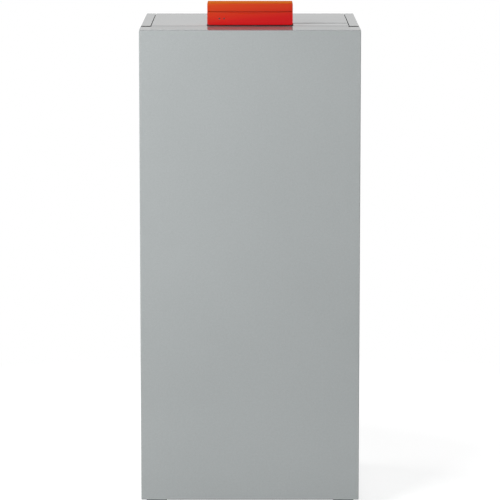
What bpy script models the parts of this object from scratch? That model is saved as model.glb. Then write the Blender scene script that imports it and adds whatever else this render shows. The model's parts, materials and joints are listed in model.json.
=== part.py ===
"""Floor standing gas condensing boiler, built as separate pieces.

Metres, +Z up. The front faces -Y, and the origin is on the floor under the middle of the outline.
Run it from Blender's text editor or with blender --background --python part.py.
"""

import math

import bmesh
import bpy
from mathutils import Vector

# Clearances and overlaps
FIT_GAP = 0.0003
SLIDE_GAP = 0.0004
OVERRUN = 0.002
JOIN = 0.0008
SHEET = 0.0015
MERGE_SHARE = 0.1
PARALLEL_SHARE = 0.9

# Facets of round pieces and steps of bends
FLUTE_SIDES = 8
PIN_SIDES = 10
HOSE_SIDES = 12
KNOB_SIDES = 16
PIPE_SIDES = 20
DRUM_SIDES = 28
DOOR_SIDES = 32
BEND_STEPS = 2
CORNER_STEPS = 4
PIPE_STEPS = 5
HOSE_STEPS = 8

# Casing
CASING_WIDTH = 0.660
CASING_DEPTH = 0.700
CASING_TOP = 1.467
CASING_BOTTOM = 0.040
CONNECTION_REACH = 0.100
FRONT_RETURN = 0.028
FRONT_BEND = 0.003
FRONT_SEAM = 0.003
RAIL_REACH = 0.135
RAIL_FLANGE = 0.020
RAIL_SEAM = 0.005
STRIP_WIDTH = 0.029
STRIP_SEAM = 0.002
STRIP_SLOT = 0.020
SIDE_BEND = 0.002
COVER_FLANGE = 0.014
COVER_SEAM = 0.004
CONTROL_CLEARANCE = 0.0025
CONNECTION_COVER_REACH = 0.281
STUD_RADIUS = 0.0045
STUD_LENGTH = 0.044
STUD_HEIGHT_SHARES = (0.15, 0.85)

# Base
FRAME_BAR_HEIGHT = 0.025
FRAME_BAR_WIDTH = 0.060
FRAME_SETBACK = 0.015
CROSS_BAR_WIDTH = 0.050
FOOT_RADIUS = 0.020
FOOT_PAD = 0.009
FOOT_NECK_RADIUS = 0.009
FOOT_STEM_RADIUS = 0.005
FOOT_STEM_TOP = 0.060
FOOT_INSET = 0.050

# Vessel
VESSEL_SIDE_SPACE = 0.105
VESSEL_FRONT_SPACE = 0.145
VESSEL_REAR_SPACE = 0.095
VESSEL_BOTTOM = 0.205
VESSEL_DROP = 0.165
VESSEL_WALL = 0.003
VESSEL_CORNER = 0.050
LEG_WIDTH = 0.040
LEG_INSET = 0.022
LEG_REACH_SHARE = 0.5
BURNER_DROP = 0.2325
CHAMBER_RADIUS = 0.1235
CHAMBER_REAR_SPACE = 0.055
SHAFT_MARGIN = 0.008
SHAFT_FRONT_SPACE = 0.073
SHAFT_REAR_SPACE = 0.073

# Heat exchanger
PLATE_COUNT = 7
PLATE_THICKNESS = 0.003
PLATE_BOTTOM_SPACE = 0.125
PLATE_DROP = 0.2025
PLATE_MARGIN = 0.014
TIE_RADIUS = 0.009
TIE_INSET = 0.060

# Insulation jacket
JACKET_THICKNESS = 0.025
JACKET_BOTTOM = 0.230
JACKET_FRONT_GAP = 0.004
JACKET_VENT = 0.012

# Burner door and what it carries
DOOR_RADIUS = 0.165
DOOR_THICKNESS = 0.012
DOOR_RIM = 0.018
DOOR_RIM_THICKNESS = 0.004
GASKET_THICKNESS = 0.002
GASKET_INNER = 0.130
GASKET_OUTER = 0.148
INLET_RADIUS = 0.026
BRICK_THICKNESS = 0.030
BRICK_OUTER = 0.117
GAUZE_RADIUS = 0.062
GAUZE_WALL = 0.0015
GAUZE_LENGTH = 0.190
GAUZE_FLANGE = 0.068
GAUZE_FLANGE_THICKNESS = 0.003
ELECTRODE_CIRCLE = 0.088
ELECTRODE_CERAMIC = 0.005
ELECTRODE_ROD = 0.0015
ELECTRODE_OUTSIDE = 0.034
ELECTRODE_INSIDE = 0.125
IGNITION_ANGLE = 150
IONISATION_ANGLE = 205
SIGHT_ANGLE = 320
SIGHT_CIRCLE = 0.096
SIGHT_RADIUS = 0.012
SIGHT_TUBE = 0.008
SIGHT_LENGTH = 0.016
SIGHT_DISH = 0.002
TRANSFORMER_SIZE = (0.042, 0.046, 0.062)
TRANSFORMER_PLACE = (-0.104, 0.062)
TRANSFORMER_BEND = 0.004

# Fan
FAN_OFFSET = -0.038
FAN_FORWARD = 0.078
FAN_RADIUS = 0.060
FAN_HEIGHT = 0.055
FAN_WALL = 0.003
FAN_DUCT_WIDTH = 0.048
FAN_FLANGE_OVERLAP = 0.012
FAN_FLANGE_THICKNESS = 0.005
FAN_INLET_RADIUS = 0.026
IMPELLER_RADIUS = 0.049
IMPELLER_HEIGHT = 0.030
IMPELLER_DISC = 0.003
IMPELLER_HUB = 0.010
BLADE_COUNT = 9
BLADE_THICKNESS = 0.002
BLADE_INNER = 0.022
SHAFT_RADIUS = 0.004
SHAFT_LENGTH = 0.030
SHAFT_HOLE = 0.008
MOTOR_RADIUS = 0.036
MOTOR_HEIGHT = 0.052
MOTOR_STEP = 0.010

# Gas and air
MIXER_RADIUS = 0.030
MIXER_FLANGE = 0.036
MIXER_HEIGHT = 0.084
MIXER_FLANGE_THICKNESS = 0.004
MIXER_BORE = 0.024
MIXER_THROAT = 0.016
GAS_PORT_RADIUS = 0.012
GAS_PORT_BORE = 0.006
GAS_PORT_REACH = 0.048
VALVE_WIDTH = 0.056
VALVE_DEPTH = 0.052
VALVE_HEIGHT = 0.070
VALVE_COIL_RADIUS = 0.019
VALVE_COIL_LENGTH = 0.034
VALVE_EDGE = 0.003
SILENCER_RADIUS = 0.037
SILENCER_LENGTH = 0.190
SILENCER_WALL = 0.003
GAS_PIPE_RADIUS = 0.0095
GAS_PIPE_DROP = 0.055
GAS_PIPE_SIDE_SPACE = 0.053
GAS_PIPE_REAR_SPACE = 0.060
GAS_PIPE_BEND = 0.030

# Connections at the back
STUB_COLLAR = 0.006
STUB_HEX_LENGTH = 0.014
WATER_RADIUS = 0.0239
WATER_BORE = 0.0185
PORT_INSET = 0.105
FLOW_DROP = 0.105
RETURN_RISE = 0.355
SAFETY_RADIUS = 0.0209
SAFETY_BORE = 0.0160
GAS_RADIUS = 0.0132
GAS_BORE = 0.0100
PANEL_HOLE_MARGIN = 0.006
GLAND_SIDE = 0.200
GLAND_DROP = 0.070
GLAND_RADIUS = 0.010
GLAND_CAP = 0.014
GLAND_BORE = 0.005
GLAND_OUTSIDE = 0.022
GLAND_NUT = 0.006

# Flue gas and condensate
COLLECTOR_HEIGHT = 0.070
COLLECTOR_LEG_SPACE = 0.003
COLLECTOR_FRONT_SPACE = 0.055
COLLECTOR_REAR_REACH = 0.067
COLLECTOR_WALL = 0.003
HOOD_WIDTH = 0.170
HOOD_DEPTH = 0.060
HOOD_RISE = 0.080
FLUE_HEIGHT = 0.340
FLUE_RADIUS = 0.055
FLUE_WALL = 0.004
FLUE_BEAD = 0.004
TEST_PORT_RADIUS = 0.009
TEST_PORT_BORE = 0.005
TEST_PORT_TOP = 0.012
TEST_PORT_INSET = 0.045
TEST_CAP_HEIGHT = 0.006
SPOUT_SIDE_INSET = 0.040
SPOUT_FRONT_INSET = 0.050
SPOUT_RADIUS = 0.012
SPOUT_BORE = 0.009
SPOUT_LENGTH = 0.008
SIPHON_RADIUS = 0.032
SIPHON_BOTTOM = 0.052
SIPHON_LIP = 0.036
SIPHON_LIP_HEIGHT = 0.010
HOSE_RADIUS = 0.010
HOSE_BORE = 0.008
HOSE_HEIGHT = 0.100
HOSE_SIDE_SPACE = 0.112
HOSE_REACH = 0.045
HOSE_BEND = 0.045
HOSE_BORE_DEPTH = 0.024

# Drain valve and sensor
DRAIN_INSET = 0.095
DRAIN_RISE = 0.065
DRAIN_RADIUS = 0.013
DRAIN_LENGTH = 0.075
DRAIN_STEP_SHARE = 0.667
DRAIN_BORE = 0.007
DRAIN_STEM_AT = 0.030
DRAIN_STEM_RADIUS = 0.008
DRAIN_STEM_HEIGHT = 0.022
DRAIN_KNOB_RADIUS = 0.018
DRAIN_KNOB_HEIGHT = 0.010
DRAIN_GRIP_WIDTH = 0.008
DRAIN_GRIP_HEIGHT = 0.010
DRAIN_GRIP_INSET = 0.002
SENSOR_REAR_SPACE = 0.155
SENSOR_RADIUS = 0.007
SENSOR_HEX_RADIUS = 0.012
SENSOR_HEIGHT = 0.046
SENSOR_HEX_HEIGHT = 0.010

# Control unit
CONTROL_WIDTH = 0.2575
CONTROL_DEPTH = 0.105
CONTROL_SETBACK = 0.137
CONTROL_HEIGHT = 0.071
PLINTH_GAP = 0.0046
PLINTH_SETBACK = 0.010
HOOD_WALL = 0.0025
HOOD_EDGE = 0.0025
GROOVE_TOP = 0.0465
GROOVE_END = 0.0020
GROOVE_MIDDLE = 0.0068
FLAP_THICKNESS = 0.003
GRIP_POINTS = 16
RECESS_SETBACK = 0.0095
RECESS_BOTTOM = 0.036
LAMP_HEIGHT = 0.0245
LAMP_PLACES = (-0.092, -0.078)
LAMP_WINDOW = 0.0025
LAMP_RADIUS = 0.0032
HINGE_UP = 0.0029
HINGE_BACK = 0.0045
HINGE_PIN = 0.0012
LUG_WIDTH = 0.006
LUG_SIZE = 0.0042
LUG_SIDE_GAP = 0.001
PIN_ANCHOR = 0.0016
FASCIA_BACK = 0.0255
FASCIA_THICKNESS = 0.003
SHELF_DROP = 0.067
SHELF_FRONT_SPACE = 0.100
SHELF_DEPTH = 0.188
SHELF_FLANGE = 0.020
SHELF_TAB_WIDTH = 0.040
SHELF_TAB_DEPTH = 0.004
SHELF_TAB_INSET = 0.084
BASE_WALL = 0.0025
BASE_INSET = 0.0052
BASE_LIP = 0.0025
BASE_DECK = 0.026
BOARD_THICKNESS = 0.0016
BOARD_HEIGHT = 0.030
BOARD_MARGIN = 0.004
BOSS_RADIUS = 0.003
BOSS_INSET = 0.012
RELAY_SIZE = (0.030, 0.018, 0.014)
RELAY_COUNT = 3
RELAY_PITCH = 0.050

# Controls on the fascia
CONTROL_ROW = 0.0225
DISPLAY_SIZE = (0.078, 0.022)
DISPLAY_PLACE = 0.000
DISPLAY_DEPTH = 0.0035
DISPLAY_STAND_SHARE = 0.25
KNOB_PLACE = 0.098
KNOB_RADIUS = 0.0105
KNOB_SKIRT = 0.0118
KNOB_LENGTH = 0.015
KNOB_SKIRT_LENGTH = 0.003
KNOB_SHAFT = 0.003
KNOB_FLUTES = 10
KNOB_FLUTE_RADIUS = 0.0016
KNOB_FLUTE_INSET = 0.0011
SWITCH_PLACE = -0.110
SWITCH_SIZE = (0.012, 0.017)
SWITCH_DEPTH = 0.009
SWITCH_TILT = 8
RESET_PLACE = -0.058
RESET_RADIUS = 0.005
BUTTON_PLACES = (0.055, 0.072)
BUTTON_RADIUS = 0.004
BUTTON_STAND = 0.003
BUTTON_RIM = 0.001
BUTTON_RIM_THICKNESS = 0.001

# Levels and planes that follow from the sizes above
HALF_WIDTH = CASING_WIDTH / 2
CASING_FRONT = -(CASING_DEPTH + CONNECTION_REACH) / 2
CASING_REAR = CASING_FRONT + CASING_DEPTH
CONNECTION_END = CASING_REAR + CONNECTION_REACH
SIDE_FRONT = CASING_FRONT + FRONT_RETURN + FRONT_SEAM
SIDE_INSIDE = HALF_WIDTH - SHEET
FLANGE_EDGE = HALF_WIDTH - STRIP_WIDTH
RAIL_REAR = CASING_FRONT + RAIL_REACH
COVER_FRONT = RAIL_REAR + RAIL_SEAM
COVER_HALF = FLANGE_EDGE - STRIP_SEAM
COVER_REAR = CASING_REAR - SHEET - FIT_GAP
CONNECTION_COVER_REAR = CASING_FRONT + CONNECTION_COVER_REACH - COVER_SEAM / 2
FRAME_TOP = CASING_BOTTOM - FIT_GAP
FRAME_BOTTOM = FRAME_TOP - FRAME_BAR_HEIGHT
FRAME_HALF = HALF_WIDTH - FRAME_SETBACK
SHELF_HEIGHT = CASING_TOP - SHELF_DROP
SHELF_FRONT = CASING_FRONT + SHELF_FRONT_SPACE
SHELF_REAR = SHELF_FRONT + SHELF_DEPTH
SHELF_TAB_AT = COVER_HALF - SHELF_TAB_INSET
VESSEL_HALF = HALF_WIDTH - VESSEL_SIDE_SPACE
VESSEL_FRONT = CASING_FRONT + VESSEL_FRONT_SPACE
VESSEL_REAR = CASING_REAR - VESSEL_REAR_SPACE
VESSEL_TOP = SHELF_HEIGHT - VESSEL_DROP
BURNER_HEIGHT = VESSEL_TOP - BURNER_DROP
CHAMBER_REAR = VESSEL_REAR - CHAMBER_REAR_SPACE
COLLECTOR_WIDTH = 2 * (VESSEL_HALF - LEG_INSET - LEG_WIDTH - COLLECTOR_LEG_SPACE)
COLLECTOR_BOTTOM = VESSEL_BOTTOM - COLLECTOR_HEIGHT
COLLECTOR_FRONT = VESSEL_FRONT + COLLECTOR_FRONT_SPACE
COLLECTOR_REAR = VESSEL_REAR + COLLECTOR_REAR_REACH
HOOD_TOP = FLUE_HEIGHT + HOOD_RISE
SHAFT_WIDTH = COLLECTOR_WIDTH - 2 * SHAFT_MARGIN
SHAFT_FRONT = VESSEL_FRONT + SHAFT_FRONT_SPACE
SHAFT_REAR = VESSEL_REAR - SHAFT_REAR_SPACE
PLATE_PITCH = (SHAFT_WIDTH - 2 * VESSEL_WALL) / PLATE_COUNT
PLATE_BOTTOM = VESSEL_BOTTOM + PLATE_BOTTOM_SPACE
PLATE_TOP = BURNER_HEIGHT - PLATE_DROP
PORT_X = VESSEL_HALF - PORT_INSET
FLOW_PLACE = (-PORT_X, VESSEL_TOP - FLOW_DROP)
RETURN_PLACE = (PORT_X, VESSEL_BOTTOM + RETURN_RISE)
SAFETY_PLACE = (PORT_X, VESSEL_TOP - FLOW_DROP)
SPOUT_PLACE = (SPOUT_SIDE_INSET - COLLECTOR_WIDTH / 2, COLLECTOR_FRONT + SPOUT_FRONT_INSET)
HOSE_SIDE = HALF_WIDTH - HOSE_SIDE_SPACE
HOSE_END = CASING_REAR + HOSE_REACH
DRAIN_PLACE = (VESSEL_HALF - DRAIN_INSET, VESSEL_BOTTOM + DRAIN_RISE)
SENSOR_PLACE = (0, VESSEL_REAR - SENSOR_REAR_SPACE)
GAS_PIPE_SIDE = HALF_WIDTH - GAS_PIPE_SIDE_SPACE
GAS_PIPE_END = CASING_REAR - GAS_PIPE_REAR_SPACE
GLAND_PLACE = (-GLAND_SIDE, SHELF_HEIGHT - GLAND_DROP)
GASKET_FRONT = VESSEL_FRONT - FIT_GAP - GASKET_THICKNESS
DOOR_REAR = GASKET_FRONT - FIT_GAP
DOOR_FRONT = DOOR_REAR - DOOR_THICKNESS
FAN_Y = VESSEL_FRONT - FAN_FORWARD
FAN_BOTTOM = BURNER_HEIGHT - FAN_HEIGHT / 2
FAN_TOP = FAN_BOTTOM + FAN_HEIGHT
MIXER_TOP = FAN_BOTTOM - FIT_GAP
MIXER_BOTTOM = MIXER_TOP - MIXER_HEIGHT
GAS_LEVEL = MIXER_BOTTOM + MIXER_HEIGHT / 2
VALVE_LEFT = FAN_OFFSET + GAS_PORT_REACH + FIT_GAP
VALVE_BOTTOM = GAS_LEVEL - VALVE_HEIGHT / 2
HOOD_HALF = CONTROL_WIDTH / 2
HOOD_FRONT = CASING_FRONT + CONTROL_SETBACK
HOOD_REAR = HOOD_FRONT + CONTROL_DEPTH
HOOD_BOTTOM = CASING_TOP + PLINTH_GAP
HOOD_CROWN = CASING_TOP + CONTROL_HEIGHT
LIP_BOTTOM = CASING_TOP + GROOVE_TOP
FLAP_TOP = LIP_BOTTOM - GROOVE_END
FLAP_BACK = HOOD_FRONT + FLAP_THICKNESS
CHEEK_INSIDE = HOOD_HALF - HOOD_WALL
HINGE_Y = HOOD_FRONT + HINGE_BACK
HINGE_Z = HOOD_BOTTOM + HINGE_UP
BASE_TOP = HOOD_BOTTOM - FIT_GAP
BASE_FRONT = HOOD_FRONT + PLINTH_SETBACK
FASCIA_FRONT = HOOD_FRONT + FASCIA_BACK
CONTROL_LEVEL = CASING_TOP + CONTROL_ROW
STUD_CENTRE = HALF_WIDTH - STRIP_WIDTH / 2

SHARP_ANGLE = math.radians(40)
TO_TOP = (0, 0, 0)
TO_FRONT = (math.radians(90), 0, 0)
TO_REAR = (math.radians(-90), 0, 0)
TO_RIGHT = (0, math.radians(90), 0)

# Colour, roughness and metallic value of each finish
FINISHES = {
    "silver_paint": ((0.45, 0.48, 0.48), 0.35, 0.35),
    "red_plastic": ((0.62, 0.035, 0.02), 0.28, 0.0),
    "black_plastic": ((0.015, 0.015, 0.018), 0.50, 0.0),
    "grey_plastic": ((0.22, 0.23, 0.24), 0.55, 0.0),
    "galvanised_steel": ((0.52, 0.54, 0.55), 0.45, 0.9),
    "black_steel": ((0.02, 0.02, 0.022), 0.50, 0.2),
    "stainless_steel": ((0.55, 0.55, 0.54), 0.30, 1.0),
    "cast_aluminium": ((0.55, 0.56, 0.57), 0.50, 0.9),
    "mineral_wool": ((0.60, 0.58, 0.52), 0.90, 0.0),
    "ceramic_fibre": ((0.78, 0.76, 0.70), 0.90, 0.0),
    "white_ceramic": ((0.85, 0.84, 0.80), 0.30, 0.0),
    "brass": ((0.60, 0.42, 0.15), 0.30, 1.0),
    "gasket_rubber": ((0.03, 0.03, 0.03), 0.80, 0.0),
    "flue_plastic": ((0.50, 0.51, 0.50), 0.55, 0.0),
    "clear_glass": ((0.05, 0.06, 0.06), 0.08, 0.0),
    "circuit_green": ((0.02, 0.16, 0.06), 0.45, 0.0),
    "knob_grey": ((0.30, 0.31, 0.32), 0.50, 0.0),
    "gas_yellow": ((0.75, 0.55, 0.04), 0.45, 0.0),
}


def clear_scene():
    for item in list(bpy.data.objects):
        bpy.data.objects.remove(item, do_unlink=True)
    for group in list(bpy.data.collections):
        bpy.data.collections.remove(group)


def new_collection(name):
    group = bpy.data.collections.new(name)
    bpy.context.scene.collection.children.link(group)
    return group


def new_material(name, colour, roughness, metallic):
    material = bpy.data.materials.new(name)
    material.use_nodes = True
    shader = material.node_tree.nodes["Principled BSDF"]
    shader.inputs["Base Color"].default_value = (*colour, 1)
    shader.inputs["Roughness"].default_value = roughness
    shader.inputs["Metallic"].default_value = metallic
    material.diffuse_color = (*colour, 1)
    return material


clear_scene()
PARTS = new_collection("floor_standing_gas_boiler")
CUTTERS = new_collection("cutters")
MATERIALS = {name: new_material(name, *values) for name, values in FINISHES.items()}


def assembly(name, place):
    """An empty that carries the pieces of one assembly."""
    holder = bpy.data.objects.new(name, None)
    holder.location = place
    PARTS.objects.link(holder)
    return holder


def put(name, data, origin, finish, holder, rotation=TO_TOP):
    """Makes an object of the mesh or curve. With no finish it is a cutter or a shape to be joined."""
    piece = bpy.data.objects.new(name, data)
    piece.rotation_euler = rotation
    if finish is None:
        CUTTERS.objects.link(piece)
        piece.location = origin
        piece.hide_render = True
        piece.display_type = "WIRE"
        return piece
    PARTS.objects.link(piece)
    data.materials.append(MATERIALS[finish])
    piece.parent = holder
    piece.location = Vector(origin) - holder.location
    return piece


def combine(target, operation, tools, solver="EXACT"):
    for tool in tools:
        modifier = target.modifiers.new(tool.name, "BOOLEAN")
        modifier.operation = operation
        modifier.solver = solver
        modifier.object = tool
    return target


def cut(target, *tools, solver="EXACT"):
    return combine(target, "DIFFERENCE", tools, solver)


def join(target, *tools):
    return combine(target, "UNION", tools)


def corners(low, high):
    """The same box with each pair of limits in rising order."""
    return Vector(map(min, low, high)), Vector(map(max, low, high))


def cube_mesh(name, low, high, origin):
    """A box mesh between two world corners, about an origin."""
    low, high = corners(low, high)
    centre = (low + high) / 2 - Vector(origin)
    mesh = bmesh.new()
    bmesh.ops.create_cube(mesh, size=1)
    bmesh.ops.scale(mesh, vec=high - low, verts=mesh.verts)
    bmesh.ops.translate(mesh, vec=centre, verts=mesh.verts)
    return mesh


def finish_mesh(mesh, name):
    data = bpy.data.meshes.new(name)
    mesh.to_mesh(data)
    mesh.free()
    return data


def box(name, low, high, finish=None, holder=None, pivot=None):
    """A plain box between two world corners, with its origin at the pivot or in its middle."""
    near, far = corners(low, high)
    origin = Vector(pivot) if pivot else (near + far) / 2
    return put(name, finish_mesh(cube_mesh(name, low, high, origin), name), origin, finish, holder)


def rounded_box(name, low, high, radius, axis, finish=None, holder=None, segments=CORNER_STEPS):
    """A box whose four edges along one axis are rounded."""
    near, far = corners(low, high)
    origin = (near + far) / 2
    mesh = cube_mesh(name, low, high, origin)
    along = [
        edge for edge in mesh.edges
        if (edge.verts[0].co - edge.verts[1].co).normalized()[axis] ** 2 > PARALLEL_SHARE
    ]
    bmesh.ops.bevel(mesh, geom=along, offset=radius, segments=segments, affect="EDGES", profile=0.5)
    return put(name, finish_mesh(mesh, name), origin, finish, holder)


def bevelled(piece, width, segments):
    """Rounds every sharp edge of a piece."""
    modifier = piece.modifiers.new("rounded_edges", "BEVEL")
    modifier.width = width
    modifier.segments = segments
    modifier.limit_method = "ANGLE"
    return piece


def tray(name, low, high, open_towards, bend, finish, holder, pivot=None, segments=BEND_STEPS):
    """A folded sheet: a box with one side left out, its bends rounded and its wall inside."""
    near, far = corners(low, high)
    origin = Vector(pivot) if pivot else (near + far) / 2
    mesh = cube_mesh(name, low, high, origin)
    mesh.normal_update()
    direction = Vector(open_towards)
    lid = [face for face in mesh.faces if face.normal.dot(direction) > PARALLEL_SHARE]
    bmesh.ops.delete(mesh, geom=lid, context="FACES")
    piece = put(name, finish_mesh(mesh, name), origin, finish, holder)
    if bend:
        bevelled(piece, bend, segments)
    wall = piece.modifiers.new("sheet", "SOLIDIFY")
    wall.thickness = SHEET
    wall.offset = -1
    wall.use_even_offset = True
    return piece


def turned(name, profile, origin, sides, finish=None, holder=None, rotation=TO_TOP):
    """A turned piece. The profile's (radius, height) points run down its outer side."""
    data = bpy.data.meshes.new(name)
    count = len(profile)
    line = [(i, (i + 1) % count) for i in range(count)]
    edges = [(i, j) for i, j in line if profile[i][0] > 0 or profile[j][0] > 0]
    data.from_pydata([(radius, 0, height) for radius, height in profile], edges, [])
    piece = put(name, data, origin, finish, holder, rotation)
    screw = piece.modifiers.new("turning", "SCREW")
    screw.axis = "Z"
    screw.steps = sides
    screw.render_steps = sides
    screw.use_merge_vertices = True
    screw.merge_threshold = FIT_GAP * MERGE_SHARE
    graph = bpy.context.evaluated_depsgraph_get()
    piece.data = bpy.data.meshes.new_from_object(piece.evaluated_get(graph))
    piece.modifiers.clear()
    return smooth(piece)


def smooth(piece):
    piece.data.shade_smooth()
    piece.data.set_sharp_from_angle(angle=SHARP_ANGLE)
    return piece


def rod(name, radius, start, length, sides, rotation, finish=None, holder=None):
    """A plain cylinder that begins at the start point and runs along the turned Z axis."""
    profile = [(0, length), (radius, length), (radius, 0), (0, 0)]
    return turned(name, profile, start, sides, finish, holder, rotation)


def ring(outer, inner, top, bottom):
    return [(outer, top), (outer, bottom), (inner, bottom), (inner, top)]


def on_door(angle, radius, y):
    """A point of the burner door's face, by its angle seen from the front."""
    turn = math.radians(angle)
    return (radius * math.cos(turn), y, BURNER_HEIGHT + radius * math.sin(turn))


def tube_mesh(name, points, radius, sides):
    """A round tube along a line of points, as a closed mesh."""
    curve = bpy.data.curves.new(name, "CURVE")
    curve.dimensions = "3D"
    curve.bevel_depth = radius
    curve.bevel_resolution = sides // 2 - 2
    curve.use_fill_caps = True
    spline = curve.splines.new("POLY")
    spline.points.add(len(points) - 1)
    for place, point in zip(spline.points, points):
        place.co = (*point, 1)
    guide = bpy.data.objects.new(name + "_guide", curve)
    CUTTERS.objects.link(guide)
    graph = bpy.context.evaluated_depsgraph_get()
    data = bpy.data.meshes.new_from_object(guide.evaluated_get(graph))
    bpy.data.objects.remove(guide, do_unlink=True)
    mesh = bmesh.new()
    mesh.from_mesh(data)
    bmesh.ops.remove_doubles(mesh, verts=mesh.verts, dist=FIT_GAP * MERGE_SHARE)
    bmesh.ops.recalc_face_normals(mesh, faces=mesh.faces)
    mesh.to_mesh(data)
    mesh.free()
    data.name = name
    return data


def rounded_route(points, bend, steps):
    """The route with each inner corner replaced by an arc-like bend of the given reach."""
    route = [Vector(points[0])]
    for before, corner, after in zip(points, points[1:], points[2:]):
        before, corner, after = Vector(before), Vector(corner), Vector(after)
        start = corner + (before - corner).normalized() * bend
        end = corner + (after - corner).normalized() * bend
        for step in range(steps + 1):
            share = step / steps
            route.append(
                start * (1 - share) ** 2 + corner * 2 * share * (1 - share) + end * share ** 2
            )
    route.append(Vector(points[-1]))
    return route


CASING = assembly("casing", (0, 0, CASING_BOTTOM))
VESSEL = assembly("vessel", (0, 0, VESSEL_BOTTOM))
BURNER = assembly("burner", (0, VESSEL_FRONT, BURNER_HEIGHT))
CONTROL = assembly("control_unit", (0, HOOD_FRONT, CASING_TOP))


def make_base():
    """Welded base frame of two side bars and two cross bars, with a levelling foot at each end."""
    front, rear = SIDE_FRONT + FIT_GAP, CASING_REAR - SHEET - FIT_GAP
    low, high = FRAME_BOTTOM, FRAME_TOP
    inner = FRAME_HALF - FRAME_BAR_WIDTH
    frame = box("base_frame", (inner, front, low), (FRAME_HALF, rear, high), "black_steel", CASING)
    join(frame, box("left_bar", (-FRAME_HALF, front, low), (-inner, rear, high)))
    leg_front = VESSEL_FRONT + LEG_INSET + LEG_WIDTH / 2
    leg_rear = VESSEL_REAR - LEG_INSET - LEG_WIDTH / 2
    for name, middle in (("front_bar", leg_front), ("rear_bar", leg_rear)):
        near, far = middle - CROSS_BAR_WIDTH / 2, middle + CROSS_BAR_WIDTH / 2
        join(frame, box(name, (-inner - JOIN, near, low), (inner + JOIN, far, high)))
    foot_x = FRAME_HALF - FRAME_BAR_WIDTH / 2
    profile = [
        (0, FOOT_STEM_TOP),
        (FOOT_STEM_RADIUS, FOOT_STEM_TOP),
        (FOOT_STEM_RADIUS, FRAME_BOTTOM - FIT_GAP),
        (FOOT_NECK_RADIUS, FRAME_BOTTOM - FIT_GAP),
        (FOOT_NECK_RADIUS, FOOT_PAD),
        (FOOT_RADIUS, FOOT_PAD / 2),
        (FOOT_RADIUS, 0),
        (0, 0),
    ]
    for side, right in (("left", -1), ("right", 1)):
        for end, y in (("front", front + FOOT_INSET), ("rear", rear - FOOT_INSET)):
            name = f"levelling_foot_{end}_{side}"
            place = (right * foot_x, y, 0)
            turned(name, profile, place, KNOB_SIDES, "galvanised_steel", CASING)
            start = (right * foot_x, y, low - OVERRUN)
            length = FRAME_BAR_HEIGHT + 2 * OVERRUN
            hole = rod(name + "_hole", FOOT_STEM_RADIUS + SLIDE_GAP, start, length, KNOB_SIDES, TO_TOP)
            cut(frame, hole)


def stud_places():
    height = CASING_TOP - CASING_BOTTOM
    for share in STUD_HEIGHT_SHARES:
        for right in (-1, 1):
            yield right * STUD_CENTRE, CASING_BOTTOM + share * height


def make_side_panels():
    """Left and right side panels: folded sheets, low in front where the top rail lies on them."""
    for name, right in (("side_panel_left", -1), ("side_panel_right", 1)):
        low = (right * FLANGE_EDGE, SIDE_FRONT, CASING_BOTTOM)
        high = (right * HALF_WIDTH, CASING_REAR, CASING_TOP)
        panel = tray(name, low, high, (-right, 0, 0), SIDE_BEND, "silver_paint", CASING)
        rail_end = RAIL_REAR + STRIP_SLOT
        step = box(
            name + "_step",
            (right * (FLANGE_EDGE - OVERRUN), SIDE_FRONT - OVERRUN, CASING_TOP - SHEET - FIT_GAP),
            (right * (HALF_WIDTH + OVERRUN), rail_end, CASING_TOP + OVERRUN),
        )
        cut(panel, step)
        for index, (x, z) in enumerate(stud_places()):
            if x * right > 0:
                start = (x, SIDE_FRONT - OVERRUN, z)
                length = SHEET + 2 * OVERRUN
                radius = STUD_RADIUS + SLIDE_GAP
                cut(panel, rod(f"{name}_stud_hole_{index}", radius, start, length, PIN_SIDES, TO_REAR))


def make_front_panel():
    """Front panel, a folded tray that hangs on four studs in the side panels' front flanges."""
    low = (-HALF_WIDTH, CASING_FRONT, CASING_BOTTOM)
    high = (HALF_WIDTH, CASING_FRONT + FRONT_RETURN, CASING_TOP)
    panel = tray("front_panel", low, high, (0, 1, 0), FRONT_BEND, "silver_paint", CASING)
    for index, (x, z) in enumerate(stud_places()):
        start = (x, CASING_FRONT + SHEET - JOIN, z)
        join(panel, rod(f"stud_{index}", STUD_RADIUS, start, STUD_LENGTH, PIN_SIDES, TO_REAR))


def make_top_rail():
    """Top front rail: a sheet across the full width with two flanges, lying on the side panels."""
    low = (-HALF_WIDTH, SIDE_FRONT, CASING_TOP - SHEET)
    rail = box("top_front_rail", low, (HALF_WIDTH, RAIL_REAR, CASING_TOP), "silver_paint", CASING)
    reach = FLANGE_EDGE - FIT_GAP
    under = CASING_TOP - RAIL_FLANGE
    for name, front in (("front_flange", SIDE_FRONT), ("rear_flange", RAIL_REAR - SHEET)):
        near = (-reach, front, under)
        join(rail, box(name, near, (reach, front + SHEET, CASING_TOP - SHEET + JOIN)))


def make_top_covers():
    """Top cover, cut out round the control unit, and the small cover right of it."""
    under = CASING_TOP - COVER_FLANGE
    low = (-COVER_HALF, COVER_FRONT, under)
    high = (COVER_HALF, COVER_REAR, CASING_TOP)
    cover = tray("top_cover", low, high, (0, 0, -1), 0, "silver_paint", CASING)
    edge = HOOD_HALF + CONTROL_CLEARANCE
    notch_low = (-edge, COVER_FRONT - OVERRUN, under - OVERRUN)
    cut(cover, box("unit_notch", notch_low, (edge, HOOD_REAR + CONTROL_CLEARANCE, CASING_TOP + OVERRUN)))
    split = CONNECTION_COVER_REAR + COVER_SEAM
    lid_low = (edge - COVER_SEAM, COVER_FRONT - OVERRUN, under - OVERRUN)
    cut(cover, box("lid_notch", lid_low, (COVER_HALF + OVERRUN, split, CASING_TOP + OVERRUN)))
    small_low = (edge, COVER_FRONT, under)
    small_high = (COVER_HALF, CONNECTION_COVER_REAR, CASING_TOP)
    tray("connection_cover", small_low, small_high, (0, 0, -1), 0, "silver_paint", CASING)


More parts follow.
